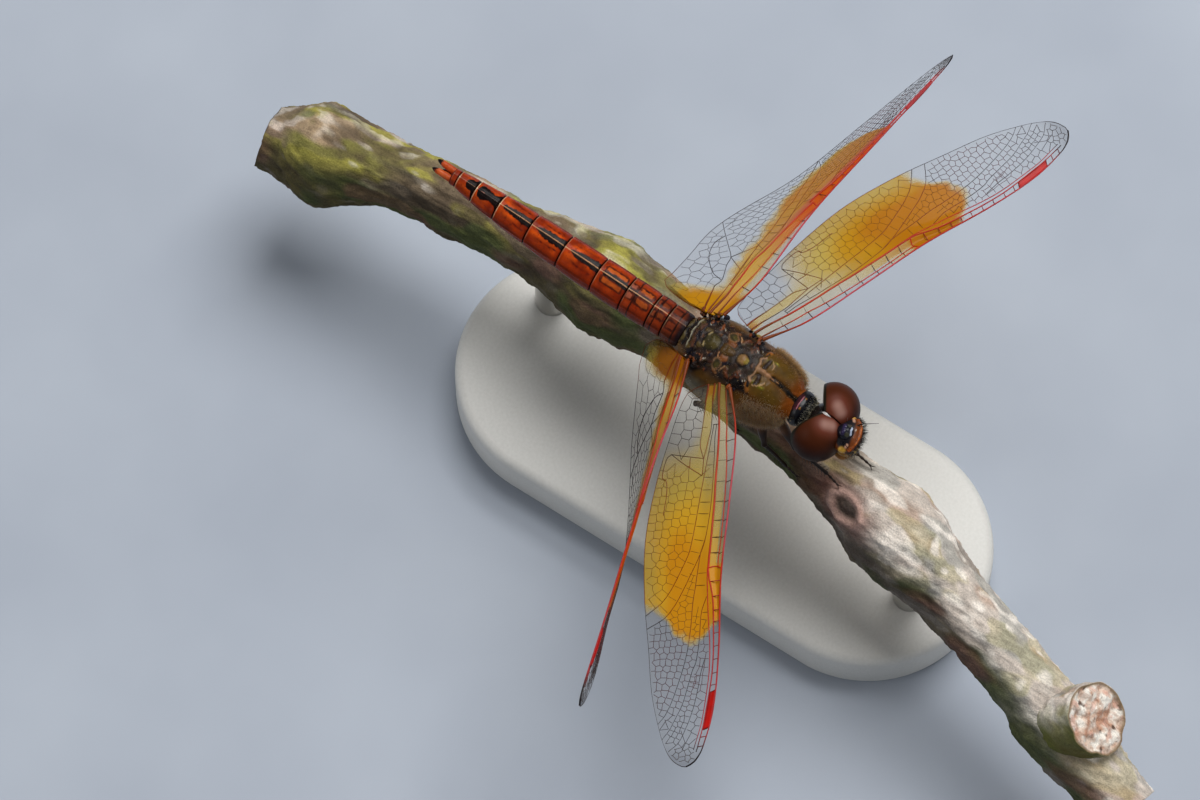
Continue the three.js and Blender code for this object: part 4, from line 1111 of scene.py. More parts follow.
RUNGS = {  # straight cross-veins of the front edge, as shares of the span
    "fore": {"inner": [0.072, 0.142, 0.195, 0.251, 0.304, 0.354, 0.399, 0.44],
             "outer": [0.515, 0.554, 0.59, 0.62, 0.65, 0.684, 0.718, 0.754, 0.785, 0.92, 0.945]},
    "hind": {"inner": [0.10, 0.18, 0.23, 0.29, 0.355],
             "outer": [0.45, 0.49, 0.53, 0.57, 0.61, 0.65, 0.69, 0.73, 0.765, 0.92, 0.945]},
}
STIGMA = {"fore": (0.80, 0.90), "hind": (0.785, 0.895)}


def laid_on(kind, u):
    """A share of the forewing's span, laid on a kind of wing: on the hindwing the part beyond the
    nodus is stretched so that nodus falls on nodus and tip on tip."""
    grow = (1 - NODUS["hind"]) / (1 - NODUS["fore"])
    return u if kind == "fore" else NODUS["hind"] + (u - NODUS["fore"]) * grow


def run_along(line):
    """How far along a line of places each place lies."""
    return np.concatenate([[0], np.cumsum(np.linalg.norm(np.diff(line, axis=0), axis=1))])


def evened(line, count):
    """Evenly spaced places on a line of places (span share, chord share). A share of the chord
    counts as a quarter of a share of the span."""
    run = run_along(line * [1, 0.25])
    even = np.linspace(0, run[-1], count)
    return np.stack([np.interp(even, run, line[:, k]) for k in range(2)], -1)


def sampled(knots, count=240):
    """Many even places along a smooth vein through a few."""
    return evened(bent([(u, v, 0) for u, v in knots], 4 * count)[:, :2], count)


def across_at(plan, u, v):
    """Distance behind the line from hinge to tip, as a share of the span, of a place on the chord."""
    lead, trail = -smooth(plan["lead"], u), smooth(plan["trail"], u)
    return lead + (trail - lead) * v


def wing_point(wing, plan, u, v, lift):
    """A place on a wing, from its shares of the span and of the chord: from the hinge along the
    span, then across the chord, which is turned down about the span by the pitch there, then off
    the sheet."""
    reach = np.array(wing["span"], float)
    length = np.linalg.norm(reach)
    along = reach / length
    behind = unit(np.array([0, 1.0, 0]) - along * along[1])
    up = np.cross(behind, along)
    up = up * np.sign(up[2])
    pitch = np.radians(smooth(np.stack([np.linspace(0, 1, 5), wing["pitch"]], -1), u))[..., None]
    chord = behind * np.cos(pitch) - up * np.sin(pitch)
    normal = behind * np.sin(pitch) + up * np.cos(pitch)
    on_span = np.array(wing["hinge"]) + reach * np.asarray(u)[..., None]
    on_chord = on_span + chord * (across_at(plan, u, v) * length)[..., None]
    return on_chord + normal * np.asarray(lift)[..., None]


def pleat(radius_line, u, v):
    """Height of the front pleats in mm: one wave of a cosine from the front edge to the radius
    vein, then a slope back to the sheet. They fade toward the tip."""
    edge = np.interp(u, radius_line[:, 0], radius_line[:, 1])
    wave = np.where(v < edge, np.cos(2 * np.pi * v / edge), 1 - step(edge, edge + 0.15, v))
    return 0.09 * wave * (1 - 0.6 * step(0.4, 0.95, u))


def cells(front, rear, along, across, seed):
    """Cross-veins of a field between two lines. Cell middles stand in rows between the lines, every
    other row half a cell on, all a little out of place, and are mirrored over both lines. A
    cross-vein joins the circle centres of two neighbouring triangles of middles, so it is as far
    from one middle as from the next. Returns pairs of places."""
    dice = np.random.default_rng(seed)
    length = run_along((front + rear) / 2)
    columns = max(2, round(length[-1] / along))
    pitch = length[-1] / columns
    where, share, real = [], [], []
    for column in range(columns):
        at = (column + 0.5) * pitch
        width = np.hypot(*(np.interp(at, length, front[:, k]) - np.interp(at, length, rear[:, k])
                           for k in range(2)))
        rows = max(1, round(width / across))
        order = np.arange(rows)
        shift = at + pitch * ((0.25 if rows > 1 else 0) * (-1.0) ** order + dice.uniform(-0.13, 0.13, rows))
        level = (order + 0.5 + (0.12 if rows > 1 else 0) * dice.uniform(-1, 1, rows)) / rows
        where += [shift[:1], shift, shift[-1:]]
        share += [-level[:1], level, 2 - level[-1:]]
        real += [[False], [True] * rows, [False]]
    where, share, real = np.concatenate(where), np.concatenate(share)[:, None], np.concatenate(real)
    lines = [np.stack([np.interp(where, length, line[:, k]) for k in range(2)], -1) for line in (front, rear)]
    spots = lines[0] * (1 - share) + lines[1] * share
    found = delaunay_2d_cdt([Vector(spot) for spot in spots.tolist()], [], [], 0, 1e-7)
    origin = np.array([first[0] for first in found[3]])
    corners = origin[np.array([face[:] for face in found[2]])]
    a, b, c = (spots[corners[:, k]] for k in range(3))
    b, c = b - a, c - a
    twice = 2 * (b[:, 0] * c[:, 1] - b[:, 1] * c[:, 0])
    twice = np.where(np.abs(twice) < 1e-9, 1e-9, twice)[:, None]
    bb, cc = (b ** 2).sum(1, keepdims=True), (c ** 2).sum(1, keepdims=True)
    centre = a + np.stack([c[:, 1], -c[:, 0]], -1) * bb / twice
    centre = centre + np.stack([-b[:, 1], b[:, 0]], -1) * cc / twice
    sides = np.sort(np.vstack([corners[:, [0, 1]], corners[:, [1, 2]], corners[:, [2, 0]]]), axis=1)
    face = np.tile(np.arange(len(corners)), 3)
    order = np.lexsort((sides[:, 1], sides[:, 0]))
    sides, face = sides[order], face[order]
    twin = np.nonzero((sides[1:] == sides[:-1]).all(1))[0]
    twin = twin[real[sides[twin]].all(1)]
    pairs = np.stack([centre[face[twin]], centre[face[twin + 1]]], 1)
    size = np.linalg.norm(pairs[:, 0] - pairs[:, 1], axis=1)
    return pairs[(size > 0.04 * across) & (size < 3.2 * max(along, min(across, width * 1.2)))]


def rods(starts, ends, radius, tint, sides=4):
    """Many straight closed rods: each a prism whose end corners stand on ovals square to it, half as
    high again as wide."""
    along = unit(ends - starts)
    side, up = square_to(along, [0.05, 0.09, 1.0])
    spoke = spokes(side[:, None], 1.5 * up[:, None], 2 * np.pi * np.arange(sides) / sides)
    spoke = spoke * np.broadcast_to(radius, len(starts))[:, None, None]
    points = np.stack([starts[:, None] + spoke, ends[:, None] + spoke], 1).reshape(-1, 3)
    first = (np.arange(len(starts)) * 2 * sides)[:, None]
    k = np.arange(sides)
    following = (k + 1) % sides
    walls = np.stack([first + k, first + following, first + sides + following, first + sides + k], -1)
    floor_quad = first + np.array([[3, 2, 1, 0]])
    roof_quad = first + sides + np.array([[0, 1, 2, 3]])
    quads = np.vstack([walls.reshape(-1, 4), floor_quad, roof_quad])
    return points, quads, np.empty((0, 3), int), np.repeat(tint, 2 * sides, axis=0)


def stain(kind, u, v, radius_line):
    """How deep the amber is, from 0 to 1. On the forewing it fills the sheet from about a sixth of
    the span to a ragged edge at two thirds, and is faint in the two strips along the front. On the
    hindwing it fills the lobe at the root and then the part in front of a line that wanders back
    and ends at two thirds, less a paler strip in front near the root."""
    place = np.stack([u * SPAN, v * 5, 0 * u], -1)
    ragged = 0.008 * swirl(place, 0.35, 60) + 0.010 * swirl(place, 1.1, 61)
    edge = np.interp(u, radius_line[:, 0], radius_line[:, 1])
    if kind == "fore":
        outer = smooth([[0, 0.617], [0.06, 0.628], [0.12, 0.637], [0.23, 0.673], [0.42, 0.677],
                        [0.52, 0.671], [0.62, 0.66], [0.69, 0.638], [0.74, 0.62], [0.83, 0.611],
                        [0.93, 0.606], [1, 0.598]], v)
        deep = 1 - step(-0.03, 0.014, u + ragged - outer)
        deep = deep * (0.12 + 0.88 * step(0.08, 0.36, u - 0.05 * np.exp(-((v - 0.3) / 0.1) ** 2)))
        deep = deep * (1 - 0.8 * step(0.45, 0.7, v) * step(0.24, 0.12, u)) * (1 - 0.3 * step(0.6, 1.0, v))
        nodus = NODUS["fore"]
        strip = (v > edge * 0.5) & (v < edge) & (u < nodus)
        faint = 0.17 + 0.5 * step(0.22, 0.46, u) + (deep - 0.67) * step(0.46, nodus, u)
        deep = np.where(strip, faint, deep)
        front = (v < edge * 0.5) & (u < nodus)
        faint = 0.07 + 0.3 * step(0.36, 0.46, u) + (deep - 0.37) * step(0.46, nodus, u)
        deep = np.where(front, faint, deep)
        cubital = step(0.38, 0.41, v) * step(0.55, 0.52, v) * step(0.24, 0.16, u)
        socket = step(0.05, 0.01, u) * step(0.3, 0.38, v) * step(0.58, 0.5, v)
        return np.maximum(deep, np.maximum(0.45 * cubital, 0.7 * socket))
    limit = smooth([[-0.06, 0.98], [-0.01, 0.96], [0.02, 0.86], [0.05, 0.62], [0.08, 0.47], [0.11, 0.42],
                    [0.2, 0.47], [0.33, 0.5], [0.41, 0.66], [0.5, 0.8], [0.6, 0.86], [0.64, 0.87],
                    [0.68, 0.71], [0.71, 0.5], [0.735, -0.2], [1, -0.2]], u)
    deep = 1 - step(-0.14 - 0.3 * step(0.12, 0.05, u), 0.05, v + 4 * ragged - limit)
    deep = deep * (0.7 + 0.3 * np.maximum(step(0.1, 0.03, u), step(0.25, 0.5, u)))
    bare = step(0.05, 0.11, u) * step(0.43, 0.36, u) * step(edge * 0.6, edge * 0.4, v)
    return deep * (1 - 0.65 * bare)


# Wing sheet: clear dry cuticle with a faint smoky tone, stained amber where the tint says so. Each
# sheet is a closed shell, so light passes two faces, and the share that each stops is "cover".
sheet, tree, output = new_finish("clear_wing_sheet")
dye = add_node(tree, "Attribute", attribute_name="tint")
cover = add_node(tree, "Attribute", attribute_name="cover")
place = add_node(tree, "TexCoord").outputs["Object"]
ripple = add_node(tree, "TexNoise", {"Vector": place, "Scale": 1 / (0.5 * MM), "Detail": 2.0})
relief = add_node(tree, "Bump", {
    "Height": ripple.outputs["Fac"], "Strength": 0.25, "Distance": 0.05 * MM})
shader = add_node(tree, "BsdfPrincipled", {
    "Base Color": dye.outputs["Color"], "Alpha": cover.outputs["Fac"], "Roughness": 0.3, "IOR": 1.5,
    "Specular IOR Level": 0.08, "Normal": relief.outputs[0]})
tree.links.new(shader.outputs[0], output.inputs[0])

# Veins and stigma: polished hollow rods of darker cuticle, in red, brown and black.
rod_finish, tree, output = new_finish("polished_vein_cuticle")
dye = add_node(tree, "Attribute", attribute_name="tint")
place = add_node(tree, "TexCoord").outputs["Object"]
cloud = add_node(tree, "TexNoise", {"Vector": place, "Scale": 1 / (0.6 * MM), "Detail": 3.0})
tone = uneven(tree, dye, cloud.outputs["Fac"], (0.3, 0.7), (0.8, 1.15))
shader = add_node(tree, "BsdfPrincipled", {
    "Base Color": tone, "Roughness": 0.35, "IOR": 1.54, "Specular IOR Level": 0.15})
tree.links.new(shader.outputs[0], output.inputs[0])


def numbers(array):
    """Per-point numbers of a closed skin: the rings in order, then its two end middles."""
    return np.concatenate([array.ravel(), [array[0].mean(), array[-1].mean()]])


def laid_out(kind):
    """The veins of one kind of wing as lines of places (span share, chord share)."""
    veins = {name: sampled([(laid_on(kind, u), v) for u, v in knots]) for name, knots in OUTER_VEINS.items()}
    veins |= {name: sampled(knots) for name, knots in INNER_VEINS[kind].items()}
    u = np.linspace(0.002, 1, 500)
    veins["costa"] = np.stack([u, 0 * u], -1)
    foot = np.linspace(veins["anal"][0, 1], 1, 40)
    inner = smooth(INNER_EDGE[kind + "wing_left"], foot) + 0.001
    u = u[u > inner[-1]]
    veins["trail_tip"] = np.stack([u, 0 * u + 1], -1)
    closing = np.linspace(1, 0.1, 8)
    veins["trail"] = np.vstack([np.stack([inner, foot], -1), veins["trail_tip"],
                                np.stack([0 * closing + 1, closing], -1)])
    return veins


def rooted(name, u, v):
    """Share of the span after a vein's foot is drawn in or out from the left wing's inner edge, on
    which veins are laid out, to this wing's own."""
    laid = INNER_EDGE[name.split("_")[0] + "_left"]
    return u + (smooth(INNER_EDGE[name], v) - smooth(laid, v)) * step(0.12, 0.0, u)


def line_of(veins, parts, count=200):
    """Parts of veins, each between two shares of the span, joined and spaced evenly."""
    return evened(np.vstack([veins[name][(veins[name][:, 0] >= low) & (veins[name][:, 0] <= high)]
                             for name, low, high in parts]), count)


def to_plan(plan, line):
    """Places on the wing as millimetres along and across the laying-out span."""
    return np.stack([line[:, 0], across_at(plan, line[:, 0], line[:, 1])], -1) * SPAN


def knob_rings(wing, plan, at, chord, lift, radii, rough, seed):
    """A lumpy knob at a place on a wing, lifted off the sheet: an ellipsoid whose points noise
    moves in and out by up to a share of their distance from its middle."""
    middle = wing_point(wing, plan, np.array([at]), np.array([chord]), np.array([lift]))[0]
    knob = ball_rings(middle, radii, 16, 20)
    return knob + (knob - middle) * (rough * swirl(knob, 0.12, seed))[..., None]


# The four root knobs that show best: span and chord share, radii in mm, and colour. The two small pale ones
# are painted highlights.
ROOT_KNOBS = [(-0.002, 0.06, [0.2, 0.12, 0.1], "7c3c18"), (-0.012, 0.3, [0.15, 0.1, 0.1], "6a3216"),
              (-0.02, 0.12, [0.06, 0.03, 0.03], "a8a090"), (-0.03, 0.34, [0.03, 0.06, 0.03], "a8a090")]
HALF_SHEET = 0.005  # half the sheet's thickness in mm


LAYOUTS = {}
for kind, plan in (("fore", FORE_PLAN), ("hind", HIND_PLAN)):
    veins = laid_out(kind)
    radius_line = np.vstack([veins["radius"], veins["radius_1"][1:]])
    fields = list(INNER_FIELDS[kind])
    for *sides, along, across in OUTER_FIELDS:
        sides = [[(name, laid_on(kind, low), laid_on(kind, high)) for name, low, high in side]
                 for side in sides]
        fields.append((*sides, along, across))
    crossings = [cells(to_plan(plan, line_of(veins, front)), to_plan(plan, line_of(veins, rear)), along,
                       across, 70 + number)
                 for number, (front, rear, along, across) in enumerate(fields)]
    for part, front, rear in (("inner", "costa", "subcosta"), ("inner", "subcosta", "radius"),
                              ("outer", "costa", "radius_1")):
        at = np.array(RUNGS[kind][part])
        ends = [to_plan(plan, np.stack([at + slant, np.interp(at + slant, *veins[name].T)], -1))
                for name, slant in ((front, -0.002), (rear, 0.002))]
        crossings.append(np.stack(ends, 1))
    crossings = np.vstack(crossings) / SPAN
    u, across = crossings[..., 0], crossings[..., 1]
    within = (u < 0.998) & (across < smooth(plan["trail"], u) + 0.001)
    within = within & (across > -smooth(plan["lead"], u) - 0.001)
    LAYOUTS[kind] = plan, veins, radius_line, crossings[within.all(1)]

for name, wing in WINGS.items():
    kind = name[:4]
    plan, veins, radius_line, crossings = LAYOUTS[kind]

    # The sheet: top and bottom faces 0.01 mm apart, one ring of both at each place on the span.
    share = np.linspace(0, 1, 240)
    v = np.linspace(0, 1, 72) * np.ones((len(share), 1))
    inner = smooth(INNER_EDGE[name], v)
    u = inner + (1 - inner) * (np.sin(share * np.pi / 2) ** 1.15)[:, None]
    fold = pleat(radius_line, u, v)
    top, bottom = (wing_point(wing, plan, u, v, fold + face * HALF_SHEET) for face in (1, -1))
    depth = stain(kind, u, v, radius_line)
    cloud = swirl(np.stack([u * SPAN, v * 5, 0 * u], -1), 1.6, 62)
    tint = dyed(plain("8c8478", u.shape), ("3a3432", step(0.92, 1, u)))
    pale, deep, root = wing["amber"]
    warmth = depth * (1 - 0.45 * step(0.45, 0.95, v))
    if kind == "fore":
        warmth = warmth * (0.3 + 0.7 * step(0.2, 0.5, u)) + 0.15 * step(0.56, 0.64, u) * depth
    tint = dyed(tint,
                ("bfa544", step(0.02, 0.2, depth)),
                (pale, step(0.2, 0.62, warmth + 0.08 * cloud)),
                (deep, step(0.6, 0.95, warmth + 0.12 * cloud) * 0.9),
                (root, step(0.085, 0.02, u) * step(0.3, 0.8, depth) * 0.85))
    if kind == "hind":
        front_band = step(0.2, 0.4, u) * step(0.76, 0.68, u) * step(0.3, 0.18, v)
        tint = dyed(tint, ("c8400c", front_band * 0.75))
    tint = dyed(tint, ("7a5c2a", step(0.008, 0.0, u - inner) * step(0.2, 0.5, v) * 0.7))
    cover = 0.045 + 0.88 * depth + (0.12 if kind == "fore" else 0.4) * step(0.93, 1, u)
    ring = np.concatenate([top, bottom[:, ::-1]], 1)
    ring_tint = np.concatenate([tint, tint[:, ::-1]], 1)
    make_piece(f"{name}_sheet", closed_skin(ring, ring_tint), sheet, [name],
               {"cover": numbers(np.concatenate([cover, cover[:, ::-1]], 1))})

    # The veins: long ones are tapered tubes, thick and rust brown where they spring from the body.
    bodies = []
    for vein, line in veins.items():
        if vein == "trail_tip":
            continue
        high = line[:, 1]
        place = rooted(name, line[:, 0], high)
        on_sheet = np.clip(place, 0, 1)
        path = wing_point(wing, plan, place, high, pleat(radius_line, on_sheet, high))
        thick = RED_VEINS.get(vein, MARGIN_VEIN if vein == "trail" else LONG_VEIN) * np.ones(len(line))
        if vein in ROOT_SWELL:
            thick = thick * (1 + ROOT_SWELL[vein] * np.exp(-(on_sheet / 0.045) ** 2))
        thick = thick * (1 - 0.35 * step(0.6, 1.0, place)) + 0.012 * step(0.95, 0.99, place)
        depth = stain(kind, on_sheet, high, radius_line)
        tint = dyed(plain("332a28", line.shape[:1]),
                    ("742e08", np.maximum(step(0.1, 0.6, depth), step(0.07, 0.02, place))))
        if vein in RED_VEINS:
            middle_part = step(0.12, 0.2, place) * step(NODUS[kind], NODUS[kind] - 0.1, place)
            tint = dyed(plain("b02610", line.shape[:1]),
                        ("b8444e" if vein == "costa" else "b03a20", middle_part),
                        ("a8323a", step(0.6, 0.7, place) * 0.7),
                        ("1c1212", step(0.9, 0.96, place)),
                        ("74340f", step(0.14, 0.03, place)))
        rings = domed(tube(path, thick, 8 if vein in RED_VEINS else 6), 0.01, 0.01)
        bodies.append(closed_skin(rings, capped(tint)[:, None]))

    u, across = crossings[..., 0], crossings[..., 1]
    lead, trail = -smooth(plan["lead"], u), smooth(plan["trail"], u)
    v = (across - lead) / (trail - lead)
    u = rooted(name, u, np.clip(v, 0, 1))
    ends = wing_point(wing, plan, u, v, pleat(radius_line, u, np.clip(v, 0, 1)))
    where, high = u.mean(1), np.clip(v.mean(1), 0, 1)
    depth = stain(kind, where, high, radius_line)
    tint = dyed(plain("382824", where.shape),
                ("4c2408", step(0.1, 0.55, depth)),
                ("7a4c14", step(0.3, 0.7, depth) * step(0.25, 0.45, high) * 0.8))
    front = step(0.14, 0.1, high)
    tint = dyed(tint,
                ("4a140a", front * step(0.5, 0.45, where)),
                ("a0302a", front * step(0.45, 0.5, where) * step(0.97, 0.9, where)),
                ("6a3034", step(0.62, 0.7, where) * step(0.9, 0.8, where) * 0.6))
    thick = (CROSS_VEIN if kind == "fore" else 0.8 * CROSS_VEIN) * (1 + 0.8 * front)
    bodies.append(rods(ends[:, 0], ends[:, 1], thick, tint))
    make_piece(f"{name}_veins", joined(bodies), rod_finish)

    # Small plates and knobs crowd the root between the shell and the veins.
    dice = np.random.default_rng(90 + list(WINGS).index(name))
    knobs = []
    for number in range(34):
        knob = knob_rings(wing, plan, dice.uniform(-0.045, 0.006),
                          dice.uniform(-0.04, 0.5 if kind == "fore" else 0.32),
                          dice.uniform(-0.5, -0.1), dice.uniform(0.06, 0.19, 3), rough=0.5, seed=93)
        tint = dyed(plain(KNUCKLE_DYES[number % len(KNUCKLE_DYES)], knob.shape[:2]),
                    ("1a0e0a", step(0, 0.5, swirl(knob, 0.1, 94))))
        knobs.append(closed_skin(knob, tint))
    for at, chord, radii, code in ROOT_KNOBS:
        knob = knob_rings(wing, plan, at, chord, -0.05, radii, rough=0.4, seed=95)
        knobs.append(closed_skin(knob, plain(code, knob.shape[:2])))
    make_piece(f"{name}_joint", joined(knobs), horn)

    # The stigma is a thick red cell behind the front edge.
    low, high = STIGMA[kind]
    s, turn = ring_grid(40, 20)
    u = low + (high - low) * s
    v_edge = np.interp(u, *veins["radius_1"].T)
    v = v_edge * (0.5 + 0.47 * np.cos(turn))
    u = u + 0.008 * (v / v_edge - 0.5)
    plump = STIGMA_PLUMP * np.sin(turn) * np.sin(np.pi * np.clip(s, 0.04, 0.96)) ** 0.3
    pad = wing_point(wing, plan, u, v, pleat(radius_line, u, v) * 0.6 + plump)
    tint = dyed(plain("b41208", u.shape),
                ("7a0c08", step(0.6, 0.95, v / v_edge) * 0.7),
                ("5a0c08", np.maximum(step(0.06, 0.0, s), step(0.94, 1.0, s))))
    make_piece(f"{name}_stigma", closed_skin(pad, tint), rod_finish)

# ---- The legs ----
# Six thin legs set close behind the head. Each has a pale hip joint, a stout thigh, a thin shin
# with two rows of long spines, and a foot of three joints that ends in two claws.
# Hip and knee in mm, and the foot as a place along the branch and an angle from its top.
LEGS = {
    "foreleg_left": {"hip": [0.6, -4.0, -0.75], "knee": [1.65, -5.8, -2.8], "foot": [-8.5, 30]},
    "foreleg_right": {"hip": [-0.6, -4.0, -0.75], "knee": [-1.15, -5.75, -2.9], "foot": [-8.0, -24]},
    "midleg_left": {"hip": [0.85, -2.9, -1.4], "knee": [2.5, -3.9, -3.1], "foot": [-6.0, 60]},
    "midleg_right": {"hip": [-0.85, -2.9, -1.4], "knee": [-1.9, -4.0, -3.3], "foot": [-5.6, -60]},
    "hindleg_left": {"hip": [0.95, -1.7, -1.75], "knee": [2.6, 0.9, -3.2], "foot": [-1.4, 62]},
    "hindleg_right": {"hip": [-0.95, -1.7, -1.75], "knee": [-1.9, 1.1, -3.4], "foot": [-0.9, -64]},
}
THIGH_RADIUS = [[0, 0.40], [0.14, 0.42], [0.24, 0.25], [0.34, 0.3], [0.6, 0.29], [0.9, 0.18], [1, 0.2]]
SHIN_RADIUS = [[0, 0.16], [0.1, 0.135], [0.8, 0.11], [1, 0.13]]
SHIN_BOW = np.array([0, 0, 0.1])
SPINES = 9  # in each of the shin's two rows
ANKLE_LIFT = 0.33
FOOT_REACH = 1.0


def on_bark(place, lift):
    """A point over the bark: a place along the branch, and an angle from its top toward +X."""
    y, degrees = place
    centre, side, up, radius = perch_at(np.array(float(y)))
    angle = math.radians(degrees)
    return centre + (side * math.sin(angle) + up * math.cos(angle)) * (radius + lift)


def bristles(root, lean, length, thick, sag):
    """Many tapering hairs. Each has three corners at the root, three at six tenths of its length
    and one point, and drops by the sag at the point and by a third of it at the middle."""
    lean = unit(lean)
    side, up = square_to(lean, [0.31, 0.17, 1.0])
    spoke = spokes(side[:, None], up[:, None], 2 * np.pi * np.arange(3) / 3) * thick[:, None, None]
    down = np.array([0, 0, -1.0]) * sag[:, None]
    middle = root + lean * (0.6 * length)[:, None] + down * 0.33
    point = root + lean * length[:, None] + down
    points = np.concatenate([root[:, None] + spoke, middle[:, None] + spoke * 0.7, point[:, None]], 1)
    first = (np.arange(len(root)) * 7)[:, None, None]
    quads = first + np.array([[0, 1, 4, 3], [1, 2, 5, 4], [2, 0, 3, 5]])
    tris = first + np.array([[2, 1, 0], [3, 4, 6], [4, 5, 6], [5, 3, 6]])
    return points.reshape(-1, 3), quads.reshape(-1, 4), tris.reshape(-1, 3)


# Leg cuticle is thin and satin, pale tan at the hips and brown black beyond.
leg_shell = cuticle("satin_leg_cuticle", roughness=0.36, shine=0.2, mottle=0.5, pit=0.05)
dice = np.random.default_rng(31)
for name, leg in LEGS.items():
    hip, knee = np.array(leg["hip"]), np.array(leg["knee"])
    ankle = on_bark(leg["foot"], ANKLE_LIFT)
    toe = on_bark([leg["foot"][0] - FOOT_REACH, leg["foot"][1]], ANKLE_LIFT)

    share = np.linspace(0, 1, 60)
    socket = hip + (knee - hip) * -0.1
    thigh = tube(socket + (knee - socket) * share[:, None], smooth(THIGH_RADIUS, share), 28)
    down_thigh = share[:, None] * np.ones(28)
    tint = dyed(plain("2a170c", thigh.shape[:2]),
                ("b08a4c", step(0.34, 0.22, down_thigh)),
                ("7a4a20", step(0.2, 0.3, down_thigh) * step(0.7, 0.4, down_thigh) * 0.6))
    thigh = domed(thigh, 0.1, 0.12)
    make_piece(f"{name}_thigh", closed_skin(thigh, capped(tint)), leg_shell, [f"{name}_femur"])

    path = knee + (ankle - knee) * share[:, None] + SHIN_BOW * np.sin(np.pi * share)[:, None]
    shin = domed(tube(path, smooth(SHIN_RADIUS, share), 20), 0.08, 0.06)
    shin = closed_skin(shin, plain("1c100a", shin.shape[:2]))
    along = unit(ankle - knee)
    level = unit(np.cross(along, [0, 0, 1.0]))
    spine_share = np.tile(np.linspace(0.1, 0.92, SPINES), 2)
    spine_side = np.repeat([1.0, -1.0], SPINES)[:, None]
    spine = bristles(knee + (ankle - knee) * spine_share[:, None] + [0, 0, 0.08],
                     along * 0.75 + level * spine_side * 0.8 + [0, 0, -0.1],
                     np.linspace(0.75, 0.5, SPINES * 2), np.full(SPINES * 2, 0.028), np.zeros(SPINES * 2))
    spine = spine + (plain("100a08", (len(spine[0]),)),)
    make_piece(f"{name}_shin", joined([shin, spine]), leg_shell, [f"{name}_tibia"])

    joints = 0.085 + 0.018 * np.cos(2 * np.pi * 3 * share) - 0.025 * share
    path = ankle + (toe - ankle) * share[:, None] + np.array([0, 0, -0.16]) * (share ** 2)[:, None]
    foot = domed(tube(path, joints, 16), 0.04, 0.03)
    foot = closed_skin(foot, plain("23150c", foot.shape[:2]))
    walk = unit(toe - ankle)
    apart = unit(np.cross(walk, [0, 0, 1.0]))
    claw = bristles(np.repeat(path[-1:], 2, 0), walk + apart * np.array([[0.7], [-0.7]]) + [0, 0, 0.05],
                    np.array([0.34, 0.34]), np.array([0.04, 0.04]), np.array([0.14, 0.14]))
    claw = claw + (plain("2e1a0e", (len(claw[0]),)),)
    make_piece(f"{name}_foot", joined([foot, claw]), leg_shell, [f"{name}_tarsus"])

# ---- The down and the bristles ----
# Fine hairs stand on the thorax and neck: golden on the front lobes, paler and longer on the
# flanks and breast. Black bristles edge the forehead, and pale and dark ones fringe the mouth.
PATCH = 0.0015  # a hair's half width on the bake map
STRAY = 0.0001  # how likely a hair is outside the places it keeps to


def hair_piece(name, slot, skin, pick, count, length, thick, sag, lean, codes, material, seed):
    """Hairs rooted at random places of a skin, more of them where pick is higher. Each leans along
    the skin's normal plus the lie of the coat, and its bake patch lies at its root's place on the
    skin's own unwrap: share of the rings across, share of the girth up."""
    dice = np.random.default_rng(seed)
    normal = outward_of(skin)
    size = [np.linalg.norm(np.gradient(skin, axis=k), axis=-1) for k in (0, 1)]
    chance = (pick * (size[0] * size[1])).ravel()
    chosen = dice.choice(chance.size, count, p=chance / chance.sum())
    row, column = np.divmod(chosen, skin.shape[1])
    jitter = dice.uniform(-0.5, 0.5, (count, 2))
    step_row = np.gradient(skin, axis=0)[row, column] * jitter[:, :1]
    step_column = (np.roll(skin, -1, 1) - skin)[row, column] * jitter[:, 1:]
    root = skin[row, column] + step_row + step_column - normal[row, column] * 0.02
    direction = normal[row, column] + np.array(lean) + dice.normal(0, 0.22, (count, 3))
    long = np.broadcast_to(length, skin.shape[:2])[row, column] * dice.uniform(0.6, 1.15, count)
    points, quads, tris = bristles(root, direction, long, np.full(count, thick), long * sag)
    shades = np.array([srgb(code) for code in codes])[dice.integers(0, len(codes), count)]
    spread = PATCH * np.array([[-1, -1], [1, -1], [0, -0.8], [-0.8, 0.1], [0.8, 0.1], [0, 0.3], [0, 1]])
    home = np.stack([(column + 0.5 + jitter[:, 1]) / skin.shape[1],
                     (row + 0.5 + jitter[:, 0]) / skin.shape[0]], -1)
    home = 0.01 + 0.98 * home
    patches = (home[:, None] + spread).reshape(-1, 2)
    make_piece(name, (points, quads, tris, np.repeat(shades, 7, 0)), material, patches=patches)


# A hair is a fine horny spike with a silky side gloss; its own tint runs its whole length.
down_finish, tree, output = new_finish("silky_down")
dye = add_node(tree, "Attribute", attribute_name="tint")
shader = add_node(tree, "BsdfPrincipled", {
    "Base Color": dye.outputs["Color"], "Roughness": 0.45, "Sheen Weight": 0.3, "Sheen Roughness": 0.4})
tree.links.new(shader.outputs[0], output.inputs[0])

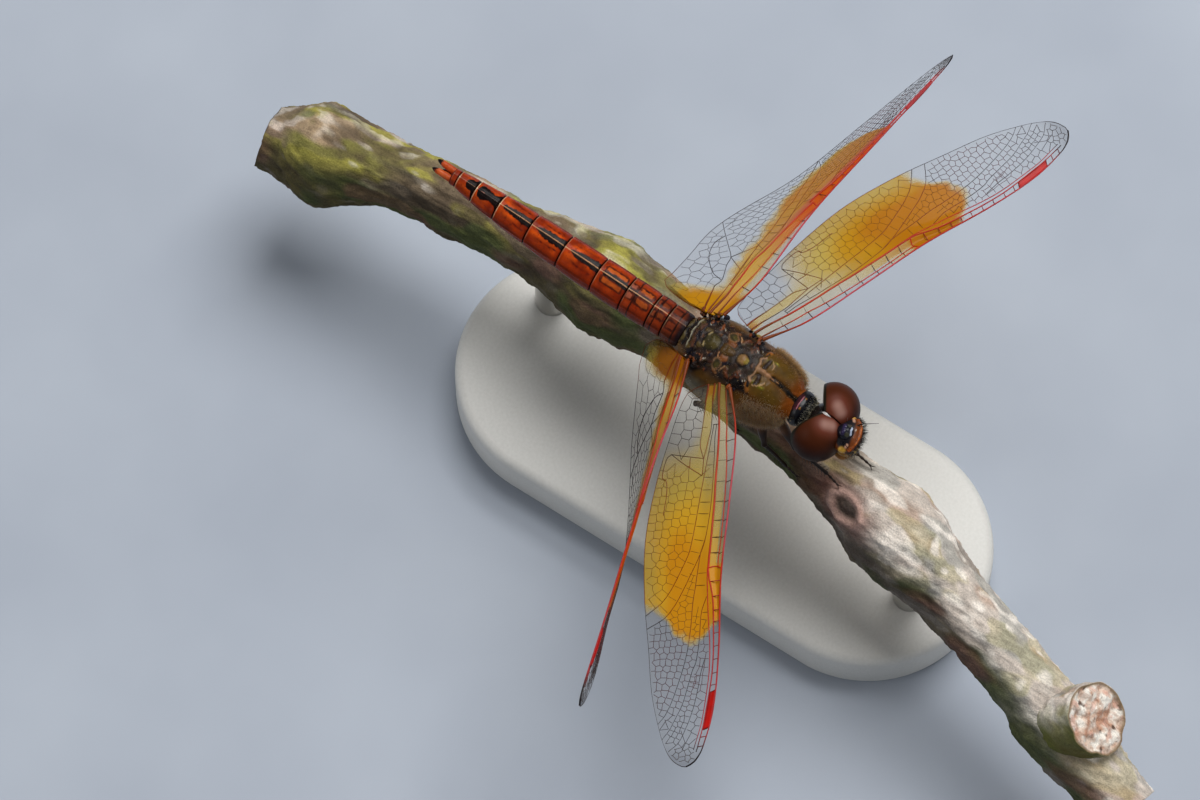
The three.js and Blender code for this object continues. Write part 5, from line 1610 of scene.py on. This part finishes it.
x, y, z = np.abs(thorax_skin[..., 0]), thorax_skin[..., 1], thorax_skin[..., 2]
shoulder = step(-1.9, -2.4, y) * step(0.9, 1.7, x) * step(3.0, 2.4, z)
flank = step(1.8, 0.8, z) * step(2.6, 1.6, y)
back_hair = step(2.2, 2.8, z) * step(-2.2, -1.8, y)
collar = ball_rings(*DARK_PLATES["neck_ring"][:2])
top_front = step(-5.5, -5.9, collar[..., 1]) * step(0.6, 1.3, collar[..., 2])
brow = ball_rings(*FACE_PLATES["forehead"][:2])
ridge = 1 - step(0.12, 0.32, distance_to(np.concatenate([np.abs(brow[..., :1]), brow[..., 1:]], -1),
                                         [[0, -9.45, 2.0], [0.6, -9.3, 1.95], [1.08, -8.95, 1.85]]))
lip = ball_rings([0, -8.5, 0.5], [1.07, 0.78, 0.95])
# Each coat: slot, skin, where the hairs stand, how many, length, thickness, sag, lie and colours.
COATS = {
    "down_shoulders": ("thorax_shell", thorax_skin, 0.03 * step(-1.9, -2.4, y) + shoulder, 7000,
                       0.22 + 0.22 * shoulder, 0.006, 0.15, [0, -0.25, 0.1],
                       ["a87838", "b88c4c", "80561f", "b0986a"]),
    "down_flanks": ("thorax_shell", thorax_skin, flank + STRAY, 4200, 0.35 + 0.3 * step(0.5, -1, z),
                    0.006, 0.1, [0, 0.3, -0.15], ["a08440", "8a6a38", "b8a478"]),
    "down_back": ("thorax_shell", thorax_skin, back_hair + STRAY, 600, 0.2, 0.005, 0.0, [0, 0.3, 0.1],
                  ["8a6236", "cfae78", "3a2a1a"]),
    "down_neck": ("dark_shell", collar, top_front + 0.1 * step(0.9, 1.2, np.abs(collar[..., 0])), 420,
                  0.22 + 0.14 * top_front, 0.007, 0.0, [0, -1.6, 0.7], ["a89c78", "8a8670", "cfc7ae"]),
    "brow_bristles": ("head_shell", held(brow), ridge + 0.01, 420, 0.42, 0.011, 0.0, [0, -0.5, 0.35],
                      ["120d0c", "1c1410"]),
    "mouth_bristles": ("head_shell", held(lip), step(-8.6, -9.0, lip[..., 1]), 700, 0.26, 0.008, 0.05,
                       [0, -0.4, -0.1], ["c0a878", "2a1c14", "8a6a3c"]),
}
for seed, (name, coat) in enumerate(COATS.items(), 41):
    hair_piece(name, *coat, down_finish, seed)
